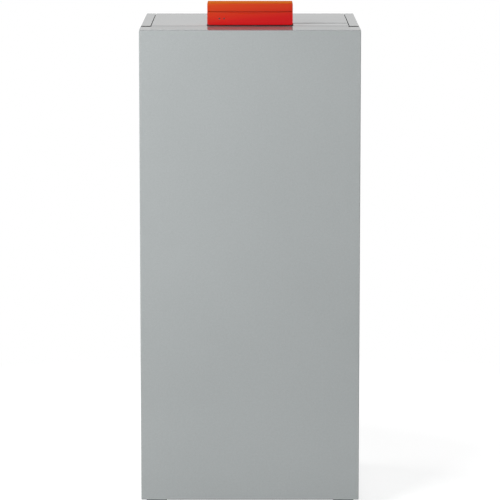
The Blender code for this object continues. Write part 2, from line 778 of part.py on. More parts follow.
def panel_hole(panel, name, place, radius, sides):
    """A round hole through the rear panel."""
    start = (place[0], COVER_REAR - SHEET - OVERRUN, place[1])
    cut(panel, rod(name, radius, start, SHEET + 2 * OVERRUN, sides, TO_REAR))


def make_rear_panel():
    """Rear panel, a shallow folded sheet between the side panels, with a hole for each connection."""
    reach = SIDE_INSIDE - FIT_GAP
    low = (-reach, COVER_REAR - COVER_FLANGE, CASING_BOTTOM + SHEET + FIT_GAP)
    high = (reach, COVER_REAR, CASING_TOP - COVER_FLANGE - FIT_GAP)
    panel = tray("rear_panel", low, high, (0, -1, 0), 0, "galvanised_steel", CASING)
    margin = PANEL_HOLE_MARGIN
    panel_hole(panel, "flue_hole", (0, FLUE_HEIGHT), FLUE_RADIUS + margin, DRUM_SIDES)
    panel_hole(panel, "flow_hole", FLOW_PLACE, WATER_RADIUS + margin, PIPE_SIDES)
    panel_hole(panel, "return_hole", RETURN_PLACE, WATER_RADIUS + margin, PIPE_SIDES)
    panel_hole(panel, "safety_hole", SAFETY_PLACE, SAFETY_RADIUS + margin, PIPE_SIDES)
    gas_place = (GAS_PIPE_SIDE, VALVE_BOTTOM - GAS_PIPE_DROP)
    panel_hole(panel, "gas_hole", gas_place, GAS_RADIUS + margin, PIPE_SIDES)
    hose_place = (-HOSE_SIDE, HOSE_HEIGHT)
    panel_hole(panel, "hose_hole", hose_place, HOSE_RADIUS + SLIDE_GAP, KNOB_SIDES)
    panel_hole(panel, "gland_hole", GLAND_PLACE, GLAND_RADIUS + FIT_GAP, KNOB_SIDES)


def make_cable_gland():
    """Gland for the mains cable, screwed into the rear panel with its nut inside."""
    inside = -SHEET - FIT_GAP
    profile = [
        (GLAND_BORE, GLAND_OUTSIDE),
        (GLAND_CAP - GLAND_BORE / 2, GLAND_OUTSIDE),
        (GLAND_CAP, GLAND_OUTSIDE / 2),
        (GLAND_CAP, FIT_GAP),
        (GLAND_RADIUS, FIT_GAP),
        (GLAND_RADIUS, inside),
        (GLAND_CAP, inside),
        (GLAND_CAP, inside - GLAND_NUT),
        (GLAND_BORE, inside - GLAND_NUT),
    ]
    start = (GLAND_PLACE[0], COVER_REAR, GLAND_PLACE[1])
    turned("mains_cable_gland", profile, start, KNOB_SIDES, "black_plastic", CASING, TO_REAR)


def make_control_shelf():
    """Shelf across the cabinet that carries the control unit and props both top covers."""
    reach = SIDE_INSIDE - FIT_GAP
    low = (-reach, SHELF_FRONT, SHELF_HEIGHT - SHELF_FLANGE)
    high = (reach, SHELF_REAR, SHELF_HEIGHT)
    shelf = tray("control_shelf", low, high, (0, 0, -1), 0, "galvanised_steel", CASING)
    top = CASING_TOP - COVER_FLANGE - FIT_GAP
    half, depth = SHELF_TAB_WIDTH / 2, SHELF_TAB_DEPTH
    tabs = (
        ("left_tab", -SHELF_TAB_AT, COVER_FRONT),
        ("right_tab", SHELF_TAB_AT, COVER_FRONT),
        ("rear_tab", SHELF_TAB_AT, CONNECTION_COVER_REAR - depth),
    )
    for name, x, front in tabs:
        near = (x - half, front, SHELF_HEIGHT - JOIN)
        join(shelf, box(name, near, (x + half, front + depth, top)))


def make_vessel():
    """Outer shell of the boiler vessel, on four legs."""
    low = (-VESSEL_HALF, VESSEL_FRONT, VESSEL_BOTTOM)
    high = (VESSEL_HALF, VESSEL_REAR, VESSEL_TOP)
    shell = rounded_box("vessel_shell", low, high, VESSEL_CORNER, 2, "stainless_steel", VESSEL)
    wall = Vector((VESSEL_WALL,) * 3)
    radius = VESSEL_CORNER - VESSEL_WALL
    cut(shell, rounded_box("water_space", Vector(low) + wall, Vector(high) - wall, radius, 2))
    leg_x = VESSEL_HALF - LEG_INSET - LEG_WIDTH / 2
    for side, right in (("left", -1), ("right", 1)):
        for end, edge, inward in (("front", VESSEL_FRONT, 1), ("rear", VESSEL_REAR, -1)):
            x = right * leg_x
            y = edge + inward * (LEG_INSET + LEG_WIDTH / 2)
            half = LEG_WIDTH / 2
            foot = (x - half, y - half, FRAME_TOP + FIT_GAP)
            top = (x + half, y + half, VESSEL_BOTTOM + VESSEL_WALL * LEG_REACH_SHARE)
            join(shell, box(f"leg_{end}_{side}", foot, top))
    start = (0, VESSEL_FRONT - OVERRUN, BURNER_HEIGHT)
    length = VESSEL_WALL + 2 * OVERRUN
    cut(shell, rod("chamber_mouth", CHAMBER_RADIUS + FIT_GAP, start, length, DOOR_SIDES, TO_REAR))
    half = SHAFT_WIDTH / 2 + FIT_GAP
    near = (-half, SHAFT_FRONT - FIT_GAP, VESSEL_BOTTOM - OVERRUN)
    cut(shell, box("shaft_mouth", near, (half, SHAFT_REAR + FIT_GAP, VESSEL_BOTTOM + 2 * OVERRUN)))
    ports = (
        ("flow_port", FLOW_PLACE, WATER_BORE),
        ("return_port", RETURN_PLACE, WATER_BORE),
        ("safety_port", SAFETY_PLACE, SAFETY_BORE),
    )
    for name, (x, z), bore in ports:
        start = (x, VESSEL_REAR - VESSEL_WALL - OVERRUN, z)
        cut(shell, rod(name, bore, start, length, PIPE_SIDES, TO_REAR))
    start = (DRAIN_PLACE[0], VESSEL_FRONT - OVERRUN, DRAIN_PLACE[1])
    cut(shell, rod("drain_port", DRAIN_BORE, start, length, KNOB_SIDES, TO_REAR))
    start = (*SENSOR_PLACE, VESSEL_TOP - VESSEL_WALL - OVERRUN)
    cut(shell, rod("sensor_port", SENSOR_RADIUS + FIT_GAP, start, length, KNOB_SIDES, TO_TOP))


def make_combustion_chamber():
    """Inner wall: a round chamber for the burner and the square shaft that leads down from it."""
    front = VESSEL_FRONT + FIT_GAP
    half = SHAFT_WIDTH / 2
    wall = VESSEL_WALL
    low = (-half, SHAFT_FRONT, VESSEL_BOTTOM + FIT_GAP)
    top = BURNER_HEIGHT + 2 * wall
    chamber = box("combustion_chamber", low, (half, SHAFT_REAR, top), "stainless_steel", VESSEL)
    start, length = (0, front, BURNER_HEIGHT), CHAMBER_REAR - front
    join(chamber, rod("chamber_round", CHAMBER_RADIUS, start, length, DOOR_SIDES, TO_REAR))
    start, length = (0, front - OVERRUN, BURNER_HEIGHT), CHAMBER_REAR - front - wall + OVERRUN
    cut(chamber, rod("chamber_bore", CHAMBER_RADIUS - wall, start, length, DOOR_SIDES, TO_REAR))
    near = (wall - half, SHAFT_FRONT + wall, VESSEL_BOTTOM - OVERRUN)
    bore = box("shaft_bore", near, (half - wall, SHAFT_REAR - wall, top - wall))
    cut(chamber, bore, solver="MANIFOLD")


def make_heat_exchanger():
    """Upright heat exchanger plates on two ties that rest between the shaft's walls."""
    front = SHAFT_FRONT + PLATE_MARGIN
    rear = SHAFT_REAR - PLATE_MARGIN
    first = -(PLATE_COUNT - 1) / 2 * PLATE_PITCH
    reach = SHAFT_WIDTH / 2 - VESSEL_WALL - FIT_GAP
    start = (-reach, front + TIE_INSET, PLATE_BOTTOM + TIE_INSET)
    sides = PIN_SIDES
    ties = rod("heat_exchanger", TIE_RADIUS, start, 2 * reach, sides, TO_RIGHT, "stainless_steel", VESSEL)
    for index in range(PLATE_COUNT):
        x = first + index * PLATE_PITCH
        half = PLATE_THICKNESS / 2
        near = (x - half, front, PLATE_BOTTOM)
        join(ties, box(f"plate_{index}", near, (x + half, rear, PLATE_TOP)))
    start = (-reach, rear - TIE_INSET, PLATE_TOP - TIE_INSET)
    join(ties, rod("upper_tie", TIE_RADIUS, start, 2 * reach, sides, TO_RIGHT))


def make_insulation():
    """Mineral wool jacket round the vessel's sides, back and top."""
    gap = FIT_GAP
    thick = JACKET_THICKNESS + gap
    low = (-VESSEL_HALF - thick, VESSEL_FRONT + JACKET_FRONT_GAP, JACKET_BOTTOM)
    high = (VESSEL_HALF + thick, VESSEL_REAR + thick, VESSEL_TOP + thick)
    corner = VESSEL_CORNER + thick
    jacket = rounded_box("vessel_insulation", low, high, corner, 2, "mineral_wool", VESSEL)
    near = (-VESSEL_HALF - gap, VESSEL_FRONT - gap, JACKET_BOTTOM - OVERRUN)
    far = (VESSEL_HALF + gap, VESSEL_REAR + gap, VESSEL_TOP + gap)
    cut(jacket, rounded_box("jacket_inside", near, far, VESSEL_CORNER, 2))
    near = (-VESSEL_HALF + VESSEL_CORNER, VESSEL_FRONT - thick, JACKET_BOTTOM - OVERRUN)
    far = (VESSEL_HALF - VESSEL_CORNER, SHAFT_FRONT, VESSEL_TOP + gap)
    cut(jacket, box("jacket_mouth", near, far))
    ports = (
        ("jacket_flow", FLOW_PLACE, WATER_RADIUS),
        ("jacket_return", RETURN_PLACE, WATER_RADIUS),
        ("jacket_safety", SAFETY_PLACE, SAFETY_RADIUS),
    )
    for name, (x, z), radius in ports:
        start = (x, VESSEL_REAR - OVERRUN, z)
        length = thick + 2 * OVERRUN
        hole = radius + STUB_COLLAR + OVERRUN
        cut(jacket, rod(name, hole, start, length, PIPE_SIDES, TO_REAR))
    start = (*SENSOR_PLACE, VESSEL_TOP - OVERRUN)
    hole = SENSOR_HEX_RADIUS + OVERRUN
    cut(jacket, rod("jacket_sensor", hole, start, thick + 2 * OVERRUN, KNOB_SIDES, TO_TOP))
    half = HOOD_WIDTH / 2 + JACKET_VENT
    near = (-half, VESSEL_REAR - OVERRUN, JACKET_BOTTOM - OVERRUN)
    cut(jacket, box("jacket_flue", near, (half, VESSEL_REAR + thick + OVERRUN, HOOD_TOP + JACKET_VENT)))


def make_burner_door():
    """Cast burner door with its gasket, insulation, gauze, electrodes and sight glass."""
    centre = (0, DOOR_REAR, BURNER_HEIGHT)
    face, rim = DOOR_THICKNESS, DOOR_RIM_THICKNESS
    profile = [
        (INLET_RADIUS, face),
        (DOOR_RADIUS - DOOR_RIM, face),
        (DOOR_RADIUS - DOOR_RIM, face - rim),
        (DOOR_RADIUS, face - rim),
        (DOOR_RADIUS, 0),
        (INLET_RADIUS, 0),
    ]
    door = turned("burner_door", profile, centre, DOOR_SIDES, "cast_aluminium", BURNER, TO_FRONT)
    start = (0, VESSEL_FRONT - FIT_GAP, BURNER_HEIGHT)
    profile = ring(GASKET_OUTER, GASKET_INNER, GASKET_THICKNESS, 0)
    turned("door_gasket", profile, start, DOOR_SIDES, "gasket_rubber", BURNER, TO_FRONT)
    brick_front = DOOR_REAR + FIT_GAP
    start = (0, brick_front, BURNER_HEIGHT)
    inner = GAUZE_FLANGE + FIT_GAP
    profile = ring(BRICK_OUTER, inner, BRICK_THICKNESS, 0)
    brick = turned("door_insulation", profile, start, DOOR_SIDES, "ceramic_fibre", BURNER, TO_REAR)
    wall, flange = GAUZE_WALL, GAUZE_FLANGE_THICKNESS
    profile = [
        (0, GAUZE_LENGTH),
        (GAUZE_RADIUS, GAUZE_LENGTH),
        (GAUZE_RADIUS, flange),
        (GAUZE_FLANGE, flange),
        (GAUZE_FLANGE, 0),
        (GAUZE_RADIUS - wall, 0),
        (GAUZE_RADIUS - wall, GAUZE_LENGTH - wall),
        (0, GAUZE_LENGTH - wall),
    ]
    turned("burner_gauze", profile, start, DOOR_SIDES, "stainless_steel", BURNER, TO_REAR)
    electrodes = (("ignition_electrode", IGNITION_ANGLE), ("ionisation_electrode", IONISATION_ANGLE))
    for name, angle in electrodes:
        back = DOOR_REAR + BRICK_THICKNESS - DOOR_FRONT
        start = on_door(angle, ELECTRODE_CIRCLE, DOOR_FRONT - ELECTRODE_OUTSIDE / 2)
        profile = [
            (0, ELECTRODE_INSIDE),
            (ELECTRODE_ROD, ELECTRODE_INSIDE),
            (ELECTRODE_ROD, back),
            (ELECTRODE_CERAMIC, back),
            (ELECTRODE_CERAMIC, 0),
            (ELECTRODE_ROD, 0),
            (ELECTRODE_ROD, -ELECTRODE_OUTSIDE / 2),
            (0, -ELECTRODE_OUTSIDE / 2),
        ]
        turned(name, profile, start, PIN_SIDES, "white_ceramic", BURNER, TO_REAR)
        hole_start = on_door(angle, ELECTRODE_CIRCLE, DOOR_FRONT - OVERRUN)
        length = DOOR_THICKNESS + BRICK_THICKNESS + 3 * OVERRUN
        hole = ELECTRODE_CERAMIC + FIT_GAP
        passage = rod(name + "_passage", hole, hole_start, length, PIN_SIDES, TO_REAR)
        cut(door, passage)
        cut(brick, passage)
    start = on_door(SIGHT_ANGLE, SIGHT_CIRCLE, DOOR_FRONT - FIT_GAP)
    profile = [
        (0, SIGHT_LENGTH - SIGHT_DISH),
        (SIGHT_TUBE, SIGHT_LENGTH - SIGHT_DISH),
        (SIGHT_TUBE, SIGHT_LENGTH),
        (SIGHT_RADIUS, SIGHT_LENGTH),
        (SIGHT_RADIUS, 0),
        (0, 0),
    ]
    turned("sight_glass", profile, start, KNOB_SIDES, "brass", BURNER, TO_FRONT)
    x, z = TRANSFORMER_PLACE
    width, depth, height = TRANSFORMER_SIZE
    back = DOOR_FRONT - FIT_GAP
    near = (x - width / 2, back - depth, BURNER_HEIGHT + z - height / 2)
    far = (x + width / 2, back, BURNER_HEIGHT + z + height / 2)
    bend = TRANSFORMER_BEND
    rounded_box("ignition_transformer", near, far, bend, 1, "black_plastic", BURNER, 2)


def make_fan():
    """Fan: housing with its outlet on the burner door, impeller on the motor's shaft, and motor."""
    centre = (FAN_OFFSET, FAN_Y, FAN_BOTTOM)
    wall = FAN_WALL
    housing = rod(
        "fan_housing", FAN_RADIUS, centre, FAN_HEIGHT, DRUM_SIDES, TO_TOP, "cast_aluminium", BURNER
    )
    half = FAN_DUCT_WIDTH / 2
    outlet_end = DOOR_FRONT - FIT_GAP
    join(housing, box("duct", (-half, FAN_Y, FAN_BOTTOM), (half, outlet_end, FAN_TOP)))
    over = FAN_FLANGE_OVERLAP
    near = (-half - over, outlet_end - FAN_FLANGE_THICKNESS, FAN_BOTTOM - over)
    join(housing, box("duct_flange", near, (half + over, outlet_end, FAN_TOP + over)))
    start = (FAN_OFFSET, FAN_Y, FAN_BOTTOM + wall)
    height = FAN_HEIGHT - 2 * wall
    cut(housing, rod("fan_space", FAN_RADIUS - wall, start, height, DRUM_SIDES, TO_TOP))
    near = (wall - half, FAN_Y, FAN_BOTTOM + wall)
    cut(housing, box("duct_space", near, (half - wall, outlet_end + OVERRUN, FAN_TOP - wall)))
    start = (FAN_OFFSET, FAN_Y, FAN_BOTTOM - OVERRUN)
    length = wall + 2 * OVERRUN
    cut(housing, rod("fan_inlet", FAN_INLET_RADIUS, start, length, PIPE_SIDES, TO_TOP))
    start = (FAN_OFFSET, FAN_Y, FAN_TOP - wall - OVERRUN)
    cut(housing, rod("shaft_hole", SHAFT_HOLE, start, length, KNOB_SIDES, TO_TOP))

    disc_top = BURNER_HEIGHT + IMPELLER_HEIGHT / 2
    shaft_top = FAN_TOP + SHAFT_LENGTH
    axle = (FAN_OFFSET, FAN_Y, disc_top)
    profile = [
        (0, shaft_top - disc_top),
        (SHAFT_RADIUS, shaft_top - disc_top),
        (SHAFT_RADIUS, 0),
        (IMPELLER_RADIUS, 0),
        (IMPELLER_RADIUS, -IMPELLER_DISC),
        (IMPELLER_HUB, -IMPELLER_DISC),
        (IMPELLER_HUB, -IMPELLER_HEIGHT),
        (0, -IMPELLER_HEIGHT),
    ]
    impeller = turned("fan_impeller", profile, axle, PIPE_SIDES, "black_plastic", BURNER)
    for index in range(BLADE_COUNT):
        low = (BLADE_INNER, -BLADE_THICKNESS / 2, -IMPELLER_HEIGHT)
        high = (IMPELLER_RADIUS - JOIN, BLADE_THICKNESS / 2, JOIN - IMPELLER_DISC)
        blade_mesh = finish_mesh(cube_mesh("blade", low, high, (0, 0, 0)), "blade")
        turn = (0, 0, index * math.tau / BLADE_COUNT)
        join(impeller, put(f"blade_{index}", blade_mesh, axle, None, None, turn))

    start = (FAN_OFFSET, FAN_Y, FAN_TOP + FIT_GAP)
    bore = SHAFT_RADIUS + FIT_GAP
    depth = SHAFT_LENGTH + FIT_GAP
    profile = [
        (0, MOTOR_HEIGHT),
        (MOTOR_RADIUS - MOTOR_STEP, MOTOR_HEIGHT),
        (MOTOR_RADIUS - MOTOR_STEP, MOTOR_HEIGHT - MOTOR_STEP),
        (MOTOR_RADIUS, MOTOR_HEIGHT - MOTOR_STEP),
        (MOTOR_RADIUS, 0),
        (bore, 0),
        (bore, depth),
        (0, depth),
    ]
    turned("fan_motor", profile, start, PIPE_SIDES, "black_plastic", BURNER)


def make_gas_train():
    """Gas and air mixer, intake silencer, gas valve and gas pipe."""
    start = (FAN_OFFSET, FAN_Y, MIXER_BOTTOM)
    height, flange = MIXER_HEIGHT, MIXER_FLANGE_THICKNESS
    profile = [
        (MIXER_FLANGE, height),
        (MIXER_FLANGE, height - flange),
        (MIXER_RADIUS, height - flange),
        (MIXER_RADIUS, 0),
        (MIXER_BORE, 0),
        (MIXER_THROAT, height / 2),
        (MIXER_BORE, height),
    ]
    mixer = turned("gas_air_mixer", profile, start, PIPE_SIDES, "cast_aluminium", BURNER)
    middle = (MIXER_THROAT + MIXER_RADIUS) / 2
    start = (FAN_OFFSET + middle, FAN_Y, GAS_LEVEL)
    length = GAS_PORT_REACH - middle
    join(mixer, rod("gas_port", GAS_PORT_RADIUS, start, length, KNOB_SIDES, TO_RIGHT))
    start = (FAN_OFFSET + OVERRUN, FAN_Y, GAS_LEVEL)
    length = GAS_PORT_REACH
    cut(mixer, rod("gas_port_bore", GAS_PORT_BORE, start, length, PIN_SIDES, TO_RIGHT))

    near = (VALVE_LEFT, FAN_Y - VALVE_DEPTH / 2, VALVE_BOTTOM)
    far = (VALVE_LEFT + VALVE_WIDTH, FAN_Y + VALVE_DEPTH / 2, VALVE_BOTTOM + VALVE_HEIGHT)
    valve = rounded_box("gas_valve", near, far, VALVE_EDGE, 2, "cast_aluminium", BURNER, 2)
    start = (VALVE_LEFT + VALVE_WIDTH - JOIN, FAN_Y, GAS_LEVEL)
    length = VALVE_COIL_LENGTH
    join(valve, rod("coil", VALVE_COIL_RADIUS, start, length, KNOB_SIDES, TO_RIGHT))

    start = (FAN_OFFSET, FAN_Y, MIXER_BOTTOM - FIT_GAP)
    wall = SILENCER_WALL
    profile = ring(SILENCER_RADIUS, SILENCER_RADIUS - wall, 0, -SILENCER_LENGTH)
    silencer = turned("intake_silencer", profile, start, PIPE_SIDES, "black_plastic", BURNER)
    lid_start = (FAN_OFFSET, FAN_Y, MIXER_BOTTOM - FIT_GAP)
    lid_profile = ring(SILENCER_RADIUS - wall / 2, MIXER_BORE, 0, -wall)
    join(silencer, turned("silencer_lid", lid_profile, lid_start, PIPE_SIDES))

    x = VALVE_LEFT + VALVE_WIDTH / 2
    low = VALVE_BOTTOM - GAS_PIPE_DROP
    corner_points = [
        (x, FAN_Y, VALVE_BOTTOM - FIT_GAP),
        (x, FAN_Y, low),
        (GAS_PIPE_SIDE, FAN_Y, low),
        (GAS_PIPE_SIDE, GAS_PIPE_END, low),
    ]
    route = rounded_route(corner_points, GAS_PIPE_BEND, PIPE_STEPS)
    data = tube_mesh("gas_pipe", route, GAS_PIPE_RADIUS, PIN_SIDES)
    smooth(put("gas_pipe", data, (0, 0, 0), "gas_yellow", BURNER))


def stub(name, place, start_y, radius, bore, finish, sides=PIPE_SIDES):
    """A threaded connection that runs back through the rear panel, with a collar at its root."""
    length = CONNECTION_END - start_y
    root = STUB_COLLAR
    profile = [
        (bore, length),
        (radius, length),
        (radius, STUB_HEX_LENGTH),
        (radius + root, STUB_HEX_LENGTH),
        (radius + root, 0),
        (bore, 0),
    ]
    start = (place[0], start_y, place[1])
    return turned(name, profile, start, sides, finish, VESSEL, TO_REAR)


def make_connections():
    """Flow, return, safety and gas connections."""
    start = VESSEL_REAR + FIT_GAP
    stub("flow_connection", FLOW_PLACE, start, WATER_RADIUS, WATER_BORE, "black_steel")
    stub("return_connection", RETURN_PLACE, start, WATER_RADIUS, WATER_BORE, "black_steel")
    stub("safety_connection", SAFETY_PLACE, start, SAFETY_RADIUS, SAFETY_BORE, "black_steel")
    gas_place = (GAS_PIPE_SIDE, VALVE_BOTTOM - GAS_PIPE_DROP)
    stub("gas_connection", gas_place, GAS_PIPE_END + FIT_GAP, GAS_RADIUS, GAS_BORE, "brass")


def make_flue():
    """Flue gas collector under the vessel, and the flue collar with its test port and plug."""
    half, wall = COLLECTOR_WIDTH / 2, COLLECTOR_WALL
    top = VESSEL_BOTTOM - FIT_GAP
    near = (-half, COLLECTOR_FRONT, COLLECTOR_BOTTOM)
    collector = box("flue_gas_collector", near, (half, COLLECTOR_REAR, top), "flue_plastic", VESSEL)
    hood_half = HOOD_WIDTH / 2
    hood_front = COLLECTOR_REAR - HOOD_DEPTH
    near = (-hood_half, hood_front, COLLECTOR_BOTTOM)
    join(collector, box("flue_hood", near, (hood_half, COLLECTOR_REAR, HOOD_TOP)))
    x, y = SPOUT_PLACE
    start = (x, y, COLLECTOR_BOTTOM - SPOUT_LENGTH)
    length = SPOUT_LENGTH + JOIN
    join(collector, rod("spout", SPOUT_RADIUS, start, length, KNOB_SIDES, TO_TOP))
    inner_top = top - wall
    near = (wall - half, COLLECTOR_FRONT + wall, COLLECTOR_BOTTOM + wall)
    cut(collector, box("collector_space", near, (half - wall, COLLECTOR_REAR - wall, inner_top)))
    near = (wall - hood_half, hood_front + wall, COLLECTOR_BOTTOM + 2 * wall)
    cut(collector, box("hood_space", near, (hood_half - wall, COLLECTOR_REAR - wall, HOOD_TOP - wall)))
    mouth = SHAFT_WIDTH / 2 - wall
    near = (-mouth, SHAFT_FRONT + wall, inner_top - OVERRUN)
    cut(collector, box("collector_mouth", near, (mouth, SHAFT_REAR - wall, top + OVERRUN)))
    start = (x, y, COLLECTOR_BOTTOM - SPOUT_LENGTH - OVERRUN)
    length = SPOUT_LENGTH + wall + 2 * OVERRUN
    cut(collector, rod("spout_bore", SPOUT_BORE, start, length, KNOB_SIDES, TO_TOP))
    start = (0, COLLECTOR_REAR - wall - OVERRUN, FLUE_HEIGHT)
    length = wall + 2 * OVERRUN
    bore = FLUE_RADIUS - FLUE_WALL
    flue_mouth = rod("flue_mouth", bore, start, length, DRUM_SIDES, TO_REAR)
    cut(collector, flue_mouth, solver="MANIFOLD")

    start_y = COLLECTOR_REAR + FIT_GAP
    length = CONNECTION_END - start_y
    bead = FLUE_BEAD
    profile = [
        (bore, length),
        (FLUE_RADIUS + bead, length),
        (FLUE_RADIUS + bead, length - 2 * bead),
        (FLUE_RADIUS, length - 3 * bead),
        (FLUE_RADIUS, bead),
        (FLUE_RADIUS + bead, bead),
        (FLUE_RADIUS + bead, 0),
        (bore, 0),
    ]
    start = (0, start_y, FLUE_HEIGHT)
    collar = turned("flue_collar", profile, start, DRUM_SIDES, "flue_plastic", VESSEL, TO_REAR)
    y = CONNECTION_END - TEST_PORT_INSET
    start = (0, y, FLUE_HEIGHT + FLUE_RADIUS - FLUE_WALL / 2)
    length = FLUE_WALL / 2 + TEST_PORT_TOP
    join(collar, rod("test_port", TEST_PORT_RADIUS, start, length, KNOB_SIDES, TO_TOP))
    start = (0, y, FLUE_HEIGHT + bore - OVERRUN)
    length = FLUE_WALL + TEST_PORT_TOP + 2 * OVERRUN
    cut(collar, rod("test_port_bore", TEST_PORT_BORE, start, length, KNOB_SIDES, TO_TOP))
    port_top = FLUE_HEIGHT + FLUE_RADIUS + TEST_PORT_TOP
    pin, cap = TEST_PORT_BORE - FIT_GAP, TEST_CAP_HEIGHT
    profile = [
        (0, cap),
        (TEST_PORT_RADIUS, cap),
        (TEST_PORT_RADIUS, 0),
        (pin, 0),
        (pin, -TEST_PORT_TOP),
        (0, -TEST_PORT_TOP),
    ]
    start = (0, y, port_top + FIT_GAP)
    turned("flue_test_plug", profile, start, KNOB_SIDES, "black_plastic", VESSEL)


def make_condensate():
    """Siphon under the collector's spout, and the hose from it to the back."""
    x, y = SPOUT_PLACE
    top = COLLECTOR_BOTTOM - SPOUT_LENGTH - FIT_GAP
    height = top - SIPHON_BOTTOM
    wall = COLLECTOR_WALL
    profile = [
        (SPOUT_BORE, height),
        (SIPHON_LIP, height),
        (SIPHON_LIP, height - SIPHON_LIP_HEIGHT),
        (SIPHON_RADIUS, height - SIPHON_LIP_HEIGHT),
        (SIPHON_RADIUS, 0),
        (0, 0),
        (0, wall),
        (SIPHON_RADIUS - wall, wall),
        (SIPHON_RADIUS - wall, height - SIPHON_LIP_HEIGHT),
        (SPOUT_BORE, height - SIPHON_LIP_HEIGHT),
    ]
    start = (x, y, SIPHON_BOTTOM)
    siphon = turned("condensate_siphon", profile, start, PIPE_SIDES, "grey_plastic", VESSEL)
    exit_x = x - SIPHON_RADIUS - FIT_GAP
    bore_start = (x, y, HOSE_HEIGHT)
    turn = (0, math.radians(-90), 0)
    cut(siphon, rod("siphon_outlet", HOSE_BORE, bore_start, 2 * SIPHON_RADIUS, KNOB_SIDES, turn))
    corner_points = [
        (exit_x, y, HOSE_HEIGHT),
        (-HOSE_SIDE, y, HOSE_HEIGHT),
        (-HOSE_SIDE, HOSE_END, HOSE_HEIGHT),
    ]
    route = rounded_route(corner_points, HOSE_BEND, HOSE_STEPS)
    data = tube_mesh("condensate_hose", route, HOSE_RADIUS, HOSE_SIDES)
    hose = smooth(put("condensate_hose", data, (0, 0, 0), "grey_plastic", VESSEL))
    start = (-HOSE_SIDE, HOSE_END - HOSE_BORE_DEPTH, HOSE_HEIGHT)
    length = HOSE_BORE_DEPTH + OVERRUN
    cut(hose, rod("hose_bore", HOSE_BORE, start, length, KNOB_SIDES, TO_REAR))


def make_drain_valve():
    """Drain valve on the vessel's front, low down, with a quarter turn knob."""
    x, z = DRAIN_PLACE
    start = (x, VESSEL_FRONT - FIT_GAP, z)
    outer, bore, length = DRAIN_RADIUS, DRAIN_BORE, DRAIN_LENGTH
    narrow = (outer + bore) / 2
    profile = [
        (bore, length),
        (narrow, length),
        (narrow, length * DRAIN_STEP_SHARE),
        (outer, length * DRAIN_STEP_SHARE),
        (outer, 0),
        (bore, 0),
    ]
    body = turned("drain_valve_body", profile, start, KNOB_SIDES, "brass", VESSEL, TO_FRONT)
    y = VESSEL_FRONT - DRAIN_STEM_AT
    stem_start = (x, y, z + narrow)
    length = DRAIN_STEM_HEIGHT - narrow
    join(body, rod("drain_stem", DRAIN_STEM_RADIUS, stem_start, length, KNOB_SIDES, TO_TOP))
    knob_start = (x, y, z + DRAIN_STEM_HEIGHT + FIT_GAP)
    knob = rod(
        "drain_valve_knob", DRAIN_KNOB_RADIUS, knob_start, DRAIN_KNOB_HEIGHT, KNOB_SIDES, TO_TOP,
        "red_plastic", VESSEL,
    )
    half, reach = DRAIN_GRIP_WIDTH / 2, DRAIN_KNOB_RADIUS - DRAIN_GRIP_INSET
    base = knob_start[2] + DRAIN_KNOB_HEIGHT
    near = (x - reach, y - half, base - JOIN)
    join(knob, box("drain_grip", near, (x + reach, y + half, base + DRAIN_GRIP_HEIGHT)))


def make_sensor():
    """Boiler temperature sensor in its well in the vessel's top."""
    reach = SENSOR_HEIGHT
    profile = [
        (0, reach),
        (SENSOR_RADIUS, reach),
        (SENSOR_RADIUS, SENSOR_HEX_HEIGHT),
        (SENSOR_HEX_RADIUS, SENSOR_HEX_HEIGHT),
        (SENSOR_HEX_RADIUS, 0),
        (SENSOR_RADIUS, 0),
        (SENSOR_RADIUS, -reach),
        (0, -reach),
    ]
    start = (*SENSOR_PLACE, VESSEL_TOP + FIT_GAP)
    turned("temperature_sensor", profile, start, KNOB_SIDES, "brass", VESSEL)


def make_control_base():
    """Black tub of the control unit, whose rim shows as the dark gap under the hood."""
    rear = HOOD_REAR - HOOD_WALL
    half = CHEEK_INSIDE - BASE_INSET / 2
    low = SHELF_HEIGHT + FIT_GAP
    front = BASE_FRONT + BASE_LIP
    far = (half, rear - BASE_LIP, BASE_TOP)
    tub = box("control_base", (-half, front, low), far, "black_plastic", CONTROL)
    rim = CHEEK_INSIDE + HOOD_WALL / 2
    join(tub, box("tub_rim", (-rim, BASE_FRONT, BASE_TOP - BASE_WALL), (rim, rear, BASE_TOP)))
    wall = BASE_WALL
    deck_rear = BASE_FRONT + BASE_DECK
    inner = half - wall
    near = (-inner, deck_rear, low + wall)
    cut(tub, box("tub_space", near, (inner, rear - BASE_LIP - wall, BASE_TOP + OVERRUN)))
    near = (-inner, front + wall, low + wall)
    cut(tub, box("tub_front_space", near, (inner, deck_rear + OVERRUN, BASE_TOP - wall)))
    board_low = low + BOARD_HEIGHT
    margin = BOARD_MARGIN
    near = (margin - inner, deck_rear + margin, board_low)
    far = (inner - margin, rear - BASE_LIP - wall - margin, board_low + BOARD_THICKNESS)
    board = box("circuit_board", near, far, "circuit_green", CONTROL)
    for right in (-1, 1):
        for y in (near[1] + BOSS_INSET, far[1] - BOSS_INSET):
            start = (right * (inner - margin - BOSS_INSET), y, low + wall - JOIN)
            length = BOARD_HEIGHT - wall + JOIN - FIT_GAP
            join(tub, rod(f"boss_{right}_{y:.3f}", BOSS_RADIUS, start, length, PIN_SIDES, TO_TOP))
    width, depth, height = RELAY_SIZE
    middle = (near[1] + far[1]) / 2
    for index in range(RELAY_COUNT):
        x = (index - (RELAY_COUNT - 1) / 2) * RELAY_PITCH
        relay_low = (x - width / 2, middle - depth / 2, board_low + BOARD_THICKNESS - JOIN)
        relay_high = (x + width / 2, middle + depth / 2, board_low + BOARD_THICKNESS + height)
        join(board, box(f"relay_{index}", relay_low, relay_high))


